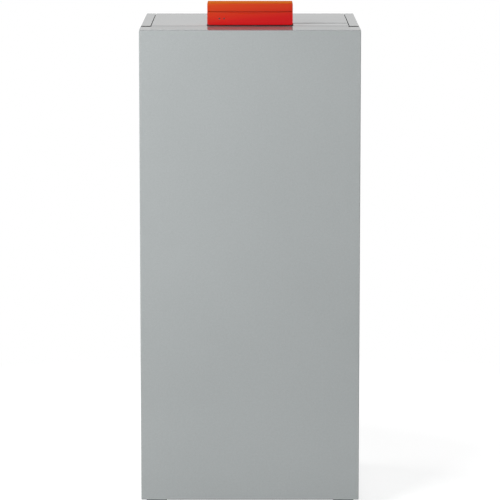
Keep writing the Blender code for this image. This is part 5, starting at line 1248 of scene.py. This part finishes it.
def make_switch():
    """Rocker with a bar and a ring moulded into its two halves."""
    refine("mains_switch", sizes().edge / 2, 3)
    source = solid("mains_switch")
    fronts = [face for face in source.faces if face.normal.y < -0.9]
    fronts.sort(key=lambda face: face.calc_center_median().z)
    radius = axis_of("mains_switch", FRONT)[1] * 0.32
    bar = post(radius * 0.2, radius, 0, PRINT)
    circle = lathe(bmesh.new(), disc(radius, PRINT, inner=radius * 0.7), count=32)
    mesh = bmesh.new()
    for face, sign in ((fronts[-1], bar), (fronts[0], circle)):
        place = at(face.calc_center_median() + face.normal * PRINT / 2, face.normal)
        absorb(mesh, held(sign, "sign"), place)
    source.free()
    publish(mesh, "mains_switch_marks", "white_print", BODY_OF["mains_switch"])


def make_lamps():
    """Tinted lamp lenses between flap and fascia."""
    wide, deep = DOME_SHARES
    turns = [step * math.pi / 16 for step in range(1, 8)]
    dome = [(wide * math.cos(turn), deep - deep * math.sin(turn)) for turn in turns]
    for node, look in (("operation_lamp", "green_lens"), ("fault_lamp", "red_lens")):
        low, high = low_high(node)
        radius = (high.z - low.z) / 2
        centre, _, reach = axis_of(node, FRONT)
        profile = [(0, 0), (radius, 0), *tip(((1, 1), (wide, deep), *dome, (0, 0)), radius, reach)]
        mesh = lathe(bmesh.new(), profile, centre, FRONT, 32)
        publish(mesh, node + "_finished", look, STATIC, "clear_glass", (node,))


class BOILER_OT_fascia(bpy.types.Operator):
    """Finish the controls behind the flap: fascia, display, dial, knob, switch, buttons and lamps"""

    bl_idname = "boiler.fascia"
    bl_label = "Fascia"
    bl_options = {"REGISTER", "UNDO"}

    def execute(self, context):
        edge = context.scene.boiler_sizes.edge
        refine("control_fascia", edge / 3)
        make_display()
        make_dial()
        make_knob()
        make_switch()
        for node, sign in (("reset_button", "ring"), ("left_button", "minus"), ("right_button", "plus")):
            make_button(node, sign)
        make_lamps()
        refine("circuit_board", edge / 4)
        return {"FINISHED"}


# Burner door and what it carries

DOOR_BOLT_CIRCLE_SHARE = 0.945
DOOR_RIBS = 12
CERAMIC_RIBS = 4
PERFORATIONS = (44, 22)
KNURLS = 40
TRANSFORMER_GROOVES = 7


def hexagon_unit(radius, height):
    """A hexagon nut on a washer with the end of its stud, on +Z."""
    nut = ((0, 0.18), (0.94, 0.18), (1, 0.26), (1, 0.86), (0.86, 1), (0, 1))
    stud = ((0, 0.9), (0.5, 0.9), (0.5, 1.35), (0.4, 1.45), (0, 1.45))
    mesh = lathe(bmesh.new(), disc(radius * 1.25, height * 0.18), count=24)
    lathe(mesh, scaled(nut, radius, height), count=6)
    return lathe(mesh, scaled(stud, radius, height), count=20)


def make_door_fittings():
    """Nuts round the door's rim and cast ribs on its face."""
    front = low_high("burner_door")[0].y
    centre, radius, _ = axis_of("burner_door", FRONT)
    size = sizes()
    bolts = size.door_bolts
    circle = radius * DOOR_BOLT_CIRCLE_SHARE
    centre.y = front + size.door_rim_step
    unit, look = hexagon_unit(size.nut, size.nut), "galvanised_steel"
    mesh = ring(bmesh.new(), unit, look, at(centre, FRONT), bolts, circle, math.pi / bolts)
    publish(mesh, "burner_door_nuts", look)
    rib, reach = size.rib, radius - size.door_rim - size.rib
    unit = block(bmesh.new(), (reach * 0.62, -rib / 2, -rib), (reach, rib / 2, rib), rib * 0.4, 3)
    centre.y = front
    look = "cast_aluminium"
    mesh = ring(bmesh.new(), unit, look, at(centre, FRONT), DOOR_RIBS, 0.0, math.pi / DOOR_RIBS)
    publish(mesh, "burner_door_ribs", look)


def make_electrode(node):
    """Glazed insulator with ribs, its metal rod and a terminal."""
    centre, radius, reach = axis_of(node, FRONT)
    size = sizes()
    start = centre.y - low_high("door_insulation")[1].y
    shoulder = centre.y - low_high("burner_door")[0].y + radius
    end = reach - size.electrode_terminal
    profile = [(0, start), (radius, start), (radius, shoulder)]
    pitch = (end - shoulder) / CERAMIC_RIBS
    for index in range(CERAMIC_RIBS):
        for wide, share in ((0.72, 0.15), (0.72, 0.45), (0.98, 0.6), (0.98, 0.9)):
            profile.append((radius * wide, shoulder + (index + share) * pitch))
    profile += [(radius * 0.6, end), (0, end)]
    stand_for(node, lathe(bmesh.new(), profile, centre, FRONT, 32))
    thin = size.electrode_rod
    terminal = ((1, 4), (1.3, 3.6), (1.3, 1), (1, 0), (0, 0))
    profile = [(0, 0), (thin * 0.7, 0), (thin, thin), *tip(terminal, thin, reach)]
    publish(lathe(bmesh.new(), profile, centre, FRONT, 20), node + "_rod", "stainless_steel")


def make_gauze():
    """Perforated burner drum, its holes drawn as black discs of painted shade."""
    refine("burner_gauze")
    centre, _, reach = axis_of("burner_gauze", REAR)
    size = sizes()
    around, rows = PERFORATIONS
    # Painted shade: flat black discs stand in for the shade inside the drum's holes.
    unit = lathe(bmesh.new(), disc(size.gauze_hole, PRINT), Vector((-PRINT / 2, 0, 0)), RIGHT, 10)
    pitch = reach * 0.88 / rows
    place = at(centre + REAR * 2 * pitch, REAR)
    rest = {"Rows": rows, "Pitch": pitch, "Twist": math.pi / around}
    mesh = ring(bmesh.new(), unit, "black_steel", place, around, size.gauze_radius, **rest)
    publish(mesh, "burner_gauze_holes", "black_steel")


def make_sight_glass():
    """Sight glass in its screwed brass ring."""
    centre, radius, reach = axis_of("sight_glass", FRONT)
    pane = sizes().sight_pane
    holder = ((0, 0), (1, 0), (1, 0.55), (0.88, 0.6), (0.88, 0.92), (0.82, 1))
    profile = scaled(holder, radius, reach) + [(pane, reach), (pane, reach * 0.8), (0, reach * 0.8)]
    mesh = lathe(bmesh.new(), profile, centre, FRONT, 48)
    unit = post(reach * 0.03, reach * 0.04, 0, reach * 0.32, reach * 0.02)
    ring(mesh, unit, "brass", at(centre + FRONT * reach * 0.6, FRONT), KNURLS, radius * 0.88)
    stand_for("sight_glass", mesh)
    dome = scaled(((0, 0), (0.97, 0), (0.97, 0.05), (0.6, 0.11), (0, 0.13)), 1, reach)
    dome = scaled(dome, pane, 1)
    mesh = lathe(bmesh.new(), dome, centre + FRONT * reach * 0.8, FRONT, 48)
    publish(mesh, "sight_glass_pane", "clear_glass")


def make_transformer():
    """Ignition transformer with cooling grooves, fixing lugs and terminals."""
    node = "ignition_transformer"
    refine(node, sizes().edge)
    low, high = low_high(node)
    rib = sizes().rib * 0.5
    unit = post(rib / 2, (high.z - low.z) * 0.36, 0, rib, rib * 0.3)
    centre = middle(node)
    centre.y = low.y
    counts, pitches = (TRANSFORMER_GROOVES, 1), (2 * rib, rib)
    mesh = grid(bmesh.new(), unit, "black_plastic", at(centre, FRONT), counts, pitches)
    screws = bmesh.new()
    for level in (low.z + 3 * rib, high.z - 3 * rib):
        near = (low.x - 4 * rib, high.y - rib, level - 2 * rib)
        block(mesh, near, (low.x + rib, high.y, level + 2 * rib), rib * 0.3)
        place = at(Vector((low.x - 2.2 * rib, high.y - rib, level)), FRONT)
        grid(screws, screw_unit(1.6 * rib), "galvanised_steel", place, (1, 1), (rib, rib))
    publish(mesh, node + "_ribs", "black_plastic")
    publish(screws, node + "_screws", "galvanised_steel")


class BOILER_OT_burner(bpy.types.Operator):
    """Finish the burner door, its lining, gauze drum, electrodes, sight glass and transformer"""

    bl_idname = "boiler.burner"
    bl_label = "Burner"
    bl_options = {"REGISTER", "UNDO"}

    def execute(self, context):
        edge = context.scene.boiler_sizes.edge
        refine("burner_door", edge)
        make_door_fittings()
        for node in ("door_gasket", "door_insulation"):
            refine(node, edge / 2)
        make_gauze()
        for node in ("ignition_electrode", "ionisation_electrode"):
            make_electrode(node)
        make_sight_glass()
        make_transformer()
        return {"FINISHED"}


# Fan and gas line

HOUSING_SCREWS = 8
SILENCER_RIBS = 9
MIXER_NUTS = 4
SEAT_GAP = 0.0003


def make_fan_motor():
    """Fan motor: ribbed drum, stepped cap and connector block."""
    centre, radius, reach = axis_of("fan_motor", UP)
    size = sizes()
    step, bore, rib = size.motor_step, size.motor_bore, size.rib * 0.5
    body = radius - rib
    depth = reach - 2 * step
    profile = [(0, depth), (bore, depth), (bore, 0), (radius, 0), (radius, step * 0.4)]
    profile += [(body, step * 0.5), (body, reach - 1.5 * step), (radius, reach - 1.4 * step)]
    profile += [(radius, reach - step * 1.1), (radius - step * 0.2, reach - step)]
    profile += [(radius - step, reach - step * 0.9)]
    profile += rounded_end(step * 0.4, radius - 1.4 * step, reach)
    mesh = lathe(bmesh.new(), profile + [(0, reach)], centre)
    near, far = (-rib, -rib * 0.4, step * 0.5), (rib * 0.7, rib * 0.4, reach - 1.45 * step)
    unit = block(bmesh.new(), near, far, rib * 0.2)
    stand_for("fan_motor", ring(mesh, unit, "black_plastic", at(centre), size.motor_ribs, body))


def make_housing_screws():
    """Screws round the fan housing's lid."""
    centre = axis_of("fan_motor", UP)[0] + DOWN * SEAT_GAP
    head = sizes().screw_head
    unit, look = screw_unit(head * 0.8), "galvanised_steel"
    circle, start = sizes().fan_radius - 1.4 * head, math.pi / HOUSING_SCREWS
    mesh = ring(bmesh.new(), unit, look, at(centre), HOUSING_SCREWS, circle, start)
    publish(mesh, "fan_housing_screws", look)


def make_mixer():
    """Venturi body of the gas and air mixer, with the nuts of its flange."""
    refine("gas_air_mixer", sizes().edge)
    low, high = low_high("gas_air_mixer")
    nut = sizes().nut
    centre = middle("fan_motor")
    circle = centre.y - low.y - nut * 0.5
    centre.z = high.z - sizes().mixer_flange
    unit, look = hexagon_unit(nut * 0.62, nut * 0.6), "galvanised_steel"
    mesh = ring(bmesh.new(), unit, look, at(centre, DOWN), MIXER_NUTS, circle, math.pi / MIXER_NUTS)
    publish(mesh, "gas_air_mixer_nuts", look)


def make_silencer():
    """Corrugated intake silencer."""
    centre, radius, reach = axis_of("intake_silencer", UP)
    wall, mouth = sizes().silencer_wall, sizes().mixer_bore
    pitch = reach * 0.9 / SILENCER_RIBS
    profile = [(radius, 0)]
    for index in range(SILENCER_RIBS):
        for share, depth in ((0.0, 0), (0.55, 0), (0.65, 0.6), (0.9, 0.6)):
            profile.append((radius - wall * depth, reach * 0.05 + (index + share) * pitch))
    profile += [(radius, reach * 0.96), (radius, reach - wall * 0.5), (radius - wall * 0.5, reach)]
    inside = radius - 1.05 * wall
    profile += [(mouth, reach), (mouth, reach - wall), (inside, reach - wall), (inside, 0)]
    stand_for("intake_silencer", lathe(bmesh.new(), profile, centre))


def make_valve():
    """Gas valve: body with cover screws, test points and connector."""
    refine("gas_valve", sizes().edge)
    low, high = low_high("gas_valve")
    size = sizes()
    width, tall = size.valve_width, high.z - low.z
    centre = Vector((low.x + width / 2, low.y, (low.z + high.z) / 2))
    unit, look = screw_unit(size.screw_head * 0.75), "galvanised_steel"
    mesh = grid(bmesh.new(), unit, look, at(centre, FRONT), (2, 2), (width * 0.72, tall * 0.76))
    publish(mesh, "gas_valve_screws", look)
    nipple = size.nut * 0.5
    point = ((0, 0), (1, 0), (1, 1), (0.6, 1.2), (0.6, 2), (0.45, 2.1), (0, 2.1))
    mesh = bmesh.new()
    for level in (-0.16, 0.16):
        lathe(mesh, scaled(point, nipple, nipple), centre + UP * tall * level, FRONT, 24)
    publish(mesh, "gas_valve_test_points", "brass")
    axis_y = (low.y + high.y) / 2
    half = (high.x - low.x - width) * 0.34
    near = (high.x - 2.2 * half, axis_y - half * 0.8, centre.z + tall * 0.27)
    far = (high.x - half * 0.6, axis_y + half * 0.8, near[2] + half)
    mesh = block(bmesh.new(), near, far, half * 0.15, 3)
    publish(mesh, "gas_valve_connector", "black_plastic")


def union_nut(mesh, place, direction, radius):
    """A union nut with its collar, on a pipe."""
    nut = ((0.8, 0), (0.94, 0), (1, 0.1), (1, 0.9), (0.9, 1), (0.8, 1))
    collar = ((0.7, -0.1), (0.84, -0.1), (0.84, 1.25), (0.76, 1.35), (0.7, 1.35))
    lathe(mesh, scaled(nut, radius, radius), place, direction, 6)
    return lathe(mesh, scaled(collar, radius, radius), place, direction, 32)


def make_gas_pipe():
    """Gas pipe with its two union nuts."""
    refine("gas_pipe")
    low, high = low_high("gas_pipe")
    size = sizes()
    back = size.nut * 1.9
    valve_x = low_high("gas_valve")[0].x + size.valve_width / 2
    upper = Vector((valve_x, middle("gas_valve").y, high.z - back))
    rear = Vector((high.x - size.gas_pipe, high.y - back, low.z + size.gas_pipe))
    mesh = union_nut(bmesh.new(), upper, UP, size.pipe_nut)
    publish(union_nut(mesh, rear, REAR, size.pipe_nut), "gas_pipe_nuts", "brass")


class BOILER_OT_fan_and_gas(bpy.types.Operator):
    """Finish the fan, mixer, silencer, gas valve and gas pipe"""

    bl_idname = "boiler.fan_and_gas"
    bl_label = "Fan and Gas Line"
    bl_options = {"REGISTER", "UNDO"}

    def execute(self, context):
        refine("fan_housing", context.scene.boiler_sizes.edge)
        refine("fan_impeller")
        make_fan_motor()
        make_housing_screws()
        make_mixer()
        make_silencer()
        make_valve()
        make_gas_pipe()
        return {"FINISHED"}


# Vessel and jacket

STRAP_SHARES = (0.10, 0.36, 0.93)
SLIVER = 0.0002


def make_jacket():
    """Insulation jacket with soft edges, without the slivers beside its open front."""
    mesh = solid("vessel_insulation")
    low, high = low_high("vessel_insulation")
    roof = max(vert.co.z for vert in mesh.verts if vert.co.z < high.z - WELD)
    cut(mesh, (0, 0, roof), UP)
    clean(mesh, SLIVER)
    soften(mesh, 5 * sizes().edge, 3, above=low.z + SLIVER)
    stand_for("vessel_insulation", mesh)


def section(node, level):
    """The outline of a CAD solid at a level, as points in order round it."""
    mesh = solid(node)
    edges = [item for item in cut(mesh, (0, 0, level), UP) if isinstance(item, bmesh.types.BMEdge)]
    linked = {}
    for edge in edges:
        for vert in edge.verts:
            linked.setdefault(vert, []).append(edge.other_vert(vert))
    loop = [min(linked, key=lambda vert: (vert.co.x, vert.co.y))]
    previous = None
    while True:
        options = [vert for vert in linked[loop[-1]] if vert is not previous]
        previous = loop[-1]
        if not options or options[0] is loop[0]:
            break
        loop.append(options[0])
    points = [vert.co.copy() for vert in loop]
    mesh.free()
    area = sum(a.x * b.y - b.x * a.y for a, b in zip(points, points[1:] + points[:1]))
    return points if area > 0 else points[::-1]


def make_straps():
    """Foil straps round the insulation jacket."""
    low, high = low_high("vessel_insulation")
    strap = sizes().strap
    mesh = bmesh.new()
    for share in STRAP_SHARES:
        outline = section("vessel_insulation", low.z + (high.z - low.z) * share)
        rings = []
        for height, out in ((-0.5, 0.0), (-0.5, 1.0), (0.5, 1.0), (0.5, 0.0)):
            spots = []
            for before, point, after in zip(outline[-1:] + outline, outline, outline[1:] + outline[:1]):
                along = (after - before).normalized()
                outwards = Vector((along.y, -along.x, 0)) * strap / 20
                spots.append(mesh.verts.new(point + outwards * out + UP * strap * height))
            rings.append(spots)
        for first, second in zip(rings, rings[1:] + rings[:1]):
            for index in range(len(outline)):
                after = (index + 1) % len(outline)
                mesh.faces.new((first[index], first[after], second[after], second[index]))
    bmesh.ops.recalc_face_normals(mesh, faces=mesh.faces)
    publish(mesh, "vessel_insulation_straps", "foil", slot="mineral_wool")


def make_drain_valve():
    """Drain valve with a hexagon, a hose nipple and its knob."""
    refine("drain_valve_body", sizes().edge / 2)
    refine("drain_valve_knob", sizes().edge * 0.7, 3)
    low, high = low_high("drain_valve_body")
    radius = (high.x - low.x) / 2
    place = Vector(((low.x + high.x) / 2, high.y - sizes().nut * 0.5, low.z + radius))
    publish(union_nut(bmesh.new(), place, FRONT, radius * 1.1), "drain_valve_nut", "brass")


def make_sensor():
    """Sensor head with its hexagon and cable boot."""
    centre, corner, reach = axis_of("temperature_sensor", UP)
    seat = low_high("vessel_shell")[1].z + SEAT_GAP
    well = seat - centre.z
    head = reach - well
    centre.z = seat
    shaft, hexagon = sizes().sensor_radius, sizes().sensor_hex
    nut = ((0, 0), (0.94, 0), (1, 0.1), (1, 0.9), (0.88, 1), (0, 1))
    mesh = lathe(bmesh.new(), scaled(nut, corner, hexagon), centre, UP, 6)
    profile = [(0, hexagon * 0.9), (shaft, hexagon * 0.9), (shaft, head * 0.8)]
    profile += [(shaft * 0.8, head * 0.84), (shaft * 0.8, head), (0, head)]
    lathe(mesh, profile, centre, UP, 32)
    profile = [(0, 0), (shaft, 0), (shaft, well - shaft), (shaft * 0.5, well), (0, well)]
    stand_for("temperature_sensor", lathe(mesh, profile, centre, DOWN, 32))


class BOILER_OT_vessel(bpy.types.Operator):
    """Finish the vessel, its chamber, heat exchanger, jacket, sensor and drain valve"""

    bl_idname = "boiler.vessel"
    bl_label = "Vessel"
    bl_options = {"REGISTER", "UNDO"}

    def execute(self, context):
        for node in ("vessel_shell", "combustion_chamber", "heat_exchanger"):
            refine(node, context.scene.boiler_sizes.edge)
        make_jacket()
        make_straps()
        make_sensor()
        make_drain_valve()
        return {"FINISHED"}


# Connections, flue and condensate

GRIP_RIBS = 24
SEAL_STEPS = 12


def make_stub(node, bore):
    """Threaded connection with a hexagon at its root and a chamfered, threaded end."""
    centre, root, reach = axis_of(node, REAR)
    size = sizes()
    radius = root - size.stub_collar
    hexagon, pitch, depth = size.stub_hexagon, size.thread_pitch, size.thread_depth
    core = radius - depth
    threaded = (reach - hexagon) * 0.5
    plain = reach - threaded
    profile = [(bore, 0), (radius * 0.99, 0), (radius * 0.99, plain), (core, plain + depth)]
    profile += [(core, reach - depth), (core - depth, reach), (bore + depth / 2, reach)]
    body = lathe(bmesh.new(), profile + [(bore, reach - depth / 2)])
    nut = [(bore * 1.02, 0), (root * 0.95, 0), (root, root * 0.05), (root, hexagon - root * 0.05)]
    lathe(body, nut + [(root * 0.95, hexagon), (bore * 1.02, hexagon)], count=6)
    values = {"Radius": core, "Pitch": pitch, "Depth": depth, "Start": plain + 2 * depth}
    values["Turns"] = (threaded - 4 * depth) / pitch
    stand_for(node, grow(bmesh.new(), "thread", body, SLOT_OF[node], at(centre, REAR), values))


def make_gland():
    """Cable gland with its lock nut, hexagon and slotted dome."""
    centre, cap, reach = axis_of("mains_cable_gland", REAR)
    size = sizes()
    panel = low_high("rear_panel")[1].y - centre.y
    bore, thread = size.gland_bore, size.gland_thread
    profile = [(bore, 0), (thread, 0), (thread, panel + cap * 0.4), (cap * 0.9, panel + cap * 0.5)]
    profile += [(cap * 0.9, reach * 0.72), (cap * 0.8, reach * 0.86), (cap * 0.58, reach), (bore, reach)]
    mesh = lathe(bmesh.new(), profile, centre, REAR)
    hexagon = [(thread * 0.9, panel + cap * 0.02), (cap * 0.96, panel + cap * 0.02)]
    hexagon += [(cap, panel + cap * 0.1), (cap, panel + cap * 0.5), (cap * 0.94, panel + cap * 0.56)]
    lathe(mesh, hexagon + [(thread * 0.9, panel + cap * 0.56)], centre, REAR, 6)
    lathe(mesh, disc(cap * 0.96, panel * 0.6, inner=thread * 0.95), centre, REAR, 6)
    rib = cap * 0.05
    unit = post(rib, rib, reach * 0.6, reach * 0.74, rib * 0.4)
    ring(mesh, unit, "black_plastic", at(centre, REAR), GRIP_RIBS, cap * 0.9)
    stand_for("mains_cable_gland", mesh)


def make_collar():
    """Flue collar with a seal ring inside its mouth, and the test plug."""
    refine("flue_collar", sizes().edge)
    centre = axis_of("flue_collar", FRONT)[0]
    size = sizes()
    centre.z = size.flue_height
    bore, bead = size.flue_bore, size.rib
    profile = []
    for step in range(SEAL_STEPS):
        turn = step * math.tau / SEAL_STEPS
        wide = bore + bead * 0.3 + bead * 0.7 * math.cos(turn)
        profile.append((max(wide, bore - bead * 0.4), bead * 2.5 + bead * 0.5 * math.sin(turn)))
    mesh = lathe(bmesh.new(), profile, centre, FRONT)
    publish(mesh, "flue_collar_seal", "gasket_rubber")
    centre, cap, reach = axis_of("flue_test_plug", UP)
    height, pin = size.test_cap, size.test_pin
    profile = [(0, 0), (pin * 0.8, 0), (pin, pin * 0.3), (pin, reach - height)]
    profile += tip(((0.94, 1), (0.94, 0.2), (0.8, 0), (0, 0)), cap, reach, height)
    mesh = lathe(bmesh.new(), profile, centre, UP, 48)
    rib = cap * 0.06
    unit = post(rib, rib, reach - height * 0.95, reach - height * 0.2, rib * 0.4)
    ring(mesh, unit, "black_plastic", at(centre), GRIP_RIBS, cap - rib)
    stand_for("flue_test_plug", mesh)


def make_clamps():
    """Band clamps on the condensate hose, at the siphon and at the back."""
    low, high = low_high("condensate_hose")
    radius = (high.z - low.z) / 2
    level = (high.z + low.z) / 2
    band, thin = sizes().clamp, radius * 0.06
    siphon_end = Vector((high.x - band, middle("condensate_siphon").y, level))
    rear_end = Vector((low.x + radius, high.y - 2 * band, level))
    mesh = bmesh.new()
    for place, direction in ((siphon_end, LEFT), (rear_end, FRONT)):
        lathe(mesh, disc(radius + thin, band, inner=radius * 0.98), place, direction, 48)
        across = UP.cross(direction)
        lug = place + direction * band / 2 + UP * (radius + 2.4 * thin) - across * radius * 0.5
        lathe(mesh, disc(thin * 3, radius), lug, across, 20)
    publish(mesh, "condensate_hose_clamps", "stainless_steel")


class BOILER_OT_connections(bpy.types.Operator):
    """Finish the pipe connections, cable gland, flue collar, collector, siphon and hose"""

    bl_idname = "boiler.connections"
    bl_label = "Connections"
    bl_options = {"REGISTER", "UNDO"}

    def execute(self, context):
        size = context.scene.boiler_sizes
        make_stub("flow_connection", size.water_bore)
        make_stub("return_connection", size.water_bore)
        make_stub("safety_connection", size.safety_bore)
        make_stub("gas_connection", size.gas_bore)
        make_gland()
        make_collar()
        refine("flue_gas_collector", 2 * size.edge, 3)
        refine("condensate_siphon", size.edge)
        refine("condensate_hose")
        make_clamps()
        return {"FINISHED"}


# Stage

# Name, power, size, place, the point it looks at, and whether it shows in gloss
LAMPS = (
    ("key", 80, (1.6, 1.2), (-1.7, -3.0, 2.15), (0, -0.4, 1.34), True),
    ("fill", 12, (2.4, 2.0), (2.6, -3.8, 1.5), (0, -0.4, 0.9), True),
    ("side", 42, (2.4, 2.4), (-4.0, 1.6, 2.2), (0, 0, 0.9), False),
    ("back", 46, (2.2, 2.4), (3.6, 1.8, 1.9), (0.2, 0, 0.8), False),
)
SOFT_SKY = 0.13
WHITE = (1, 1, 1, 1)
FLOOR_SIZE = 16
FLOOR_GLOW = 0.69
FLOOR_NEAR = 0.9
FLOOR_FAR = 2.2
SENSOR_WIDTH = 36
VIEW_END = 100


def add_lamp(name, power, size, place, aim, mirrored):
    """A soft rectangular lamp that looks at a point."""
    data = bpy.data.lights.new(name, "AREA")
    data.shape = "RECTANGLE"
    data.size, data.size_y = size
    data.energy = power
    lamp = show(name, data)
    lamp.visible_glossy = mirrored
    lamp.location = place
    lamp.rotation_euler = (Vector(aim) - Vector(place)).to_track_quat("-Z", "Y").to_euler()


def seen(tree):
    """1 for rays from the camera, from gloss and through glass."""
    path = tree.node("ShaderNodeLightPath").outputs
    mirrored = tree.math("MAXIMUM", path["Is Glossy Ray"], path["Is Transmission Ray"])
    return tree.math("MAXIMUM", path["Is Camera Ray"], mirrored)


def make_world():
    """White where it is seen, and a soft sky for diffuse light."""
    world = bpy.data.worlds.new("studio")
    bpy.context.scene.world = world
    world.use_nodes = True
    tree = NodeTree()
    tree.tree = world.node_tree
    background = world.node_tree.nodes["Background"]
    tree.feed(background.inputs["Color"], WHITE)
    tree.feed(background.inputs["Strength"], tree.math("MAXIMUM", seen(tree), SOFT_SKY))


def make_floor():
    """Plain pale floor that looks white, keeps the shadow and runs out into the background."""
    mesh = bmesh.new()
    bmesh.ops.create_grid(mesh, x_segments=1, y_segments=1, size=FLOOR_SIZE)
    floor = held(mesh, "floor")
    look = Finish("floor", Roughness=0.9, Specular_IOR_Level=0.0, Emission_Color=WHITE)
    tone = tuple(bpy.context.scene.boiler_stage.floor)
    look.set(Base_Color=look.ramp(look.noise(3, 2), *tones(tone, 0.995, 1.005)))
    flat = look.node("ShaderNodeVectorMath", {0: look.place}, operation="LENGTH")
    away = look.span(flat.outputs["Value"], 0.0, 1.0, FLOOR_NEAR, FLOOR_FAR)
    visible = seen(look)
    look.set(Emission_Strength=look.math("MULTIPLY", visible, look.span(away, FLOOR_GLOW, 1.0)))
    white = look.node("ShaderNodeEmission", {"Color": WHITE, "Strength": 1.0})
    inputs = {0: look.math("MULTIPLY", visible, away)}
    inputs |= {1: look.shader.outputs["BSDF"], 2: white.outputs["Emission"]}
    mixed = look.node("ShaderNodeMixShader", inputs)
    output = look.tree.nodes["Material Output"]
    look.feed(output.inputs["Surface"], mixed.outputs["Shader"])
    floor.data.materials.append(look.material)


class BOILER_OT_stage(bpy.types.Operator):
    """Set the camera at the photograph's angle, with a pale floor and soft studio light"""

    bl_idname = "boiler.stage"
    bl_label = "Stage"
    bl_options = {"REGISTER", "UNDO"}

    def execute(self, context):
        scene = context.scene
        stage = scene.boiler_stage
        data = bpy.data.cameras.new("camera")
        data.lens = stage.lens
        data.sensor_width = SENSOR_WIDTH
        data.clip_end = VIEW_END
        camera = show("camera", data)
        camera.location = (0, CAD_BOX[0][1] - stage.distance, stage.height)
        camera.rotation_euler = (math.radians(90) - stage.pitch, 0, 0)
        scene.camera = camera
        scene.view_settings.view_transform = "Standard"
        for lamp in LAMPS:
            add_lamp(*lamp)
        make_world()
        make_floor()
        return {"FINISHED"}


# Panel and registration

STEPS = (
    BOILER_OT_cabinet,
    BOILER_OT_base,
    BOILER_OT_control_unit,
    BOILER_OT_fascia,
    BOILER_OT_burner,
    BOILER_OT_fan_and_gas,
    BOILER_OT_vessel,
    BOILER_OT_connections,
    BOILER_OT_stage,
)


class BOILER_PT_panel(bpy.types.Panel):
    """Buttons and settings of the boiler"""

    bl_idname = "BOILER_PT_panel"
    bl_label = "Floor Standing Gas Boiler"
    bl_space_type = "VIEW_3D"
    bl_region_type = "UI"
    bl_category = "Boiler"

    def draw(self, context):
        layout = self.layout
        scene = context.scene
        for step in STEPS:
            layout.operator(step.bl_idname)
        for settings in (scene.boiler_colours, scene.boiler_sizes, scene.boiler_stage):
            box = layout.box()
            for name in settings.__annotations__:
                box.prop(settings, name)


CLASSES = (BoilerColours, BoilerSizes, BoilerStage, *STEPS, BOILER_PT_panel)


def register():
    for cls in CLASSES:
        bpy.utils.register_class(cls)
    bpy.types.Scene.boiler_colours = PointerProperty(type=BoilerColours)
    bpy.types.Scene.boiler_sizes = PointerProperty(type=BoilerSizes)
    bpy.types.Scene.boiler_stage = PointerProperty(type=BoilerStage)


def unregister():
    del bpy.types.Scene.boiler_stage
    del bpy.types.Scene.boiler_sizes
    del bpy.types.Scene.boiler_colours
    for cls in reversed(CLASSES):
        bpy.utils.unregister_class(cls)


def plain(box):
    return [[float(number) for number in corner] for corner in box]


def main():
    register()
    bpy.ops.boiler.cabinet()
    bpy.ops.boiler.base()
    bpy.ops.boiler.control_unit()
    bpy.ops.boiler.fascia()
    bpy.ops.boiler.burner()
    bpy.ops.boiler.fan_and_gas()
    bpy.ops.boiler.vessel()
    bpy.ops.boiler.connections()
    bpy.ops.boiler.stage()


if __name__ == "__main__":
    main()
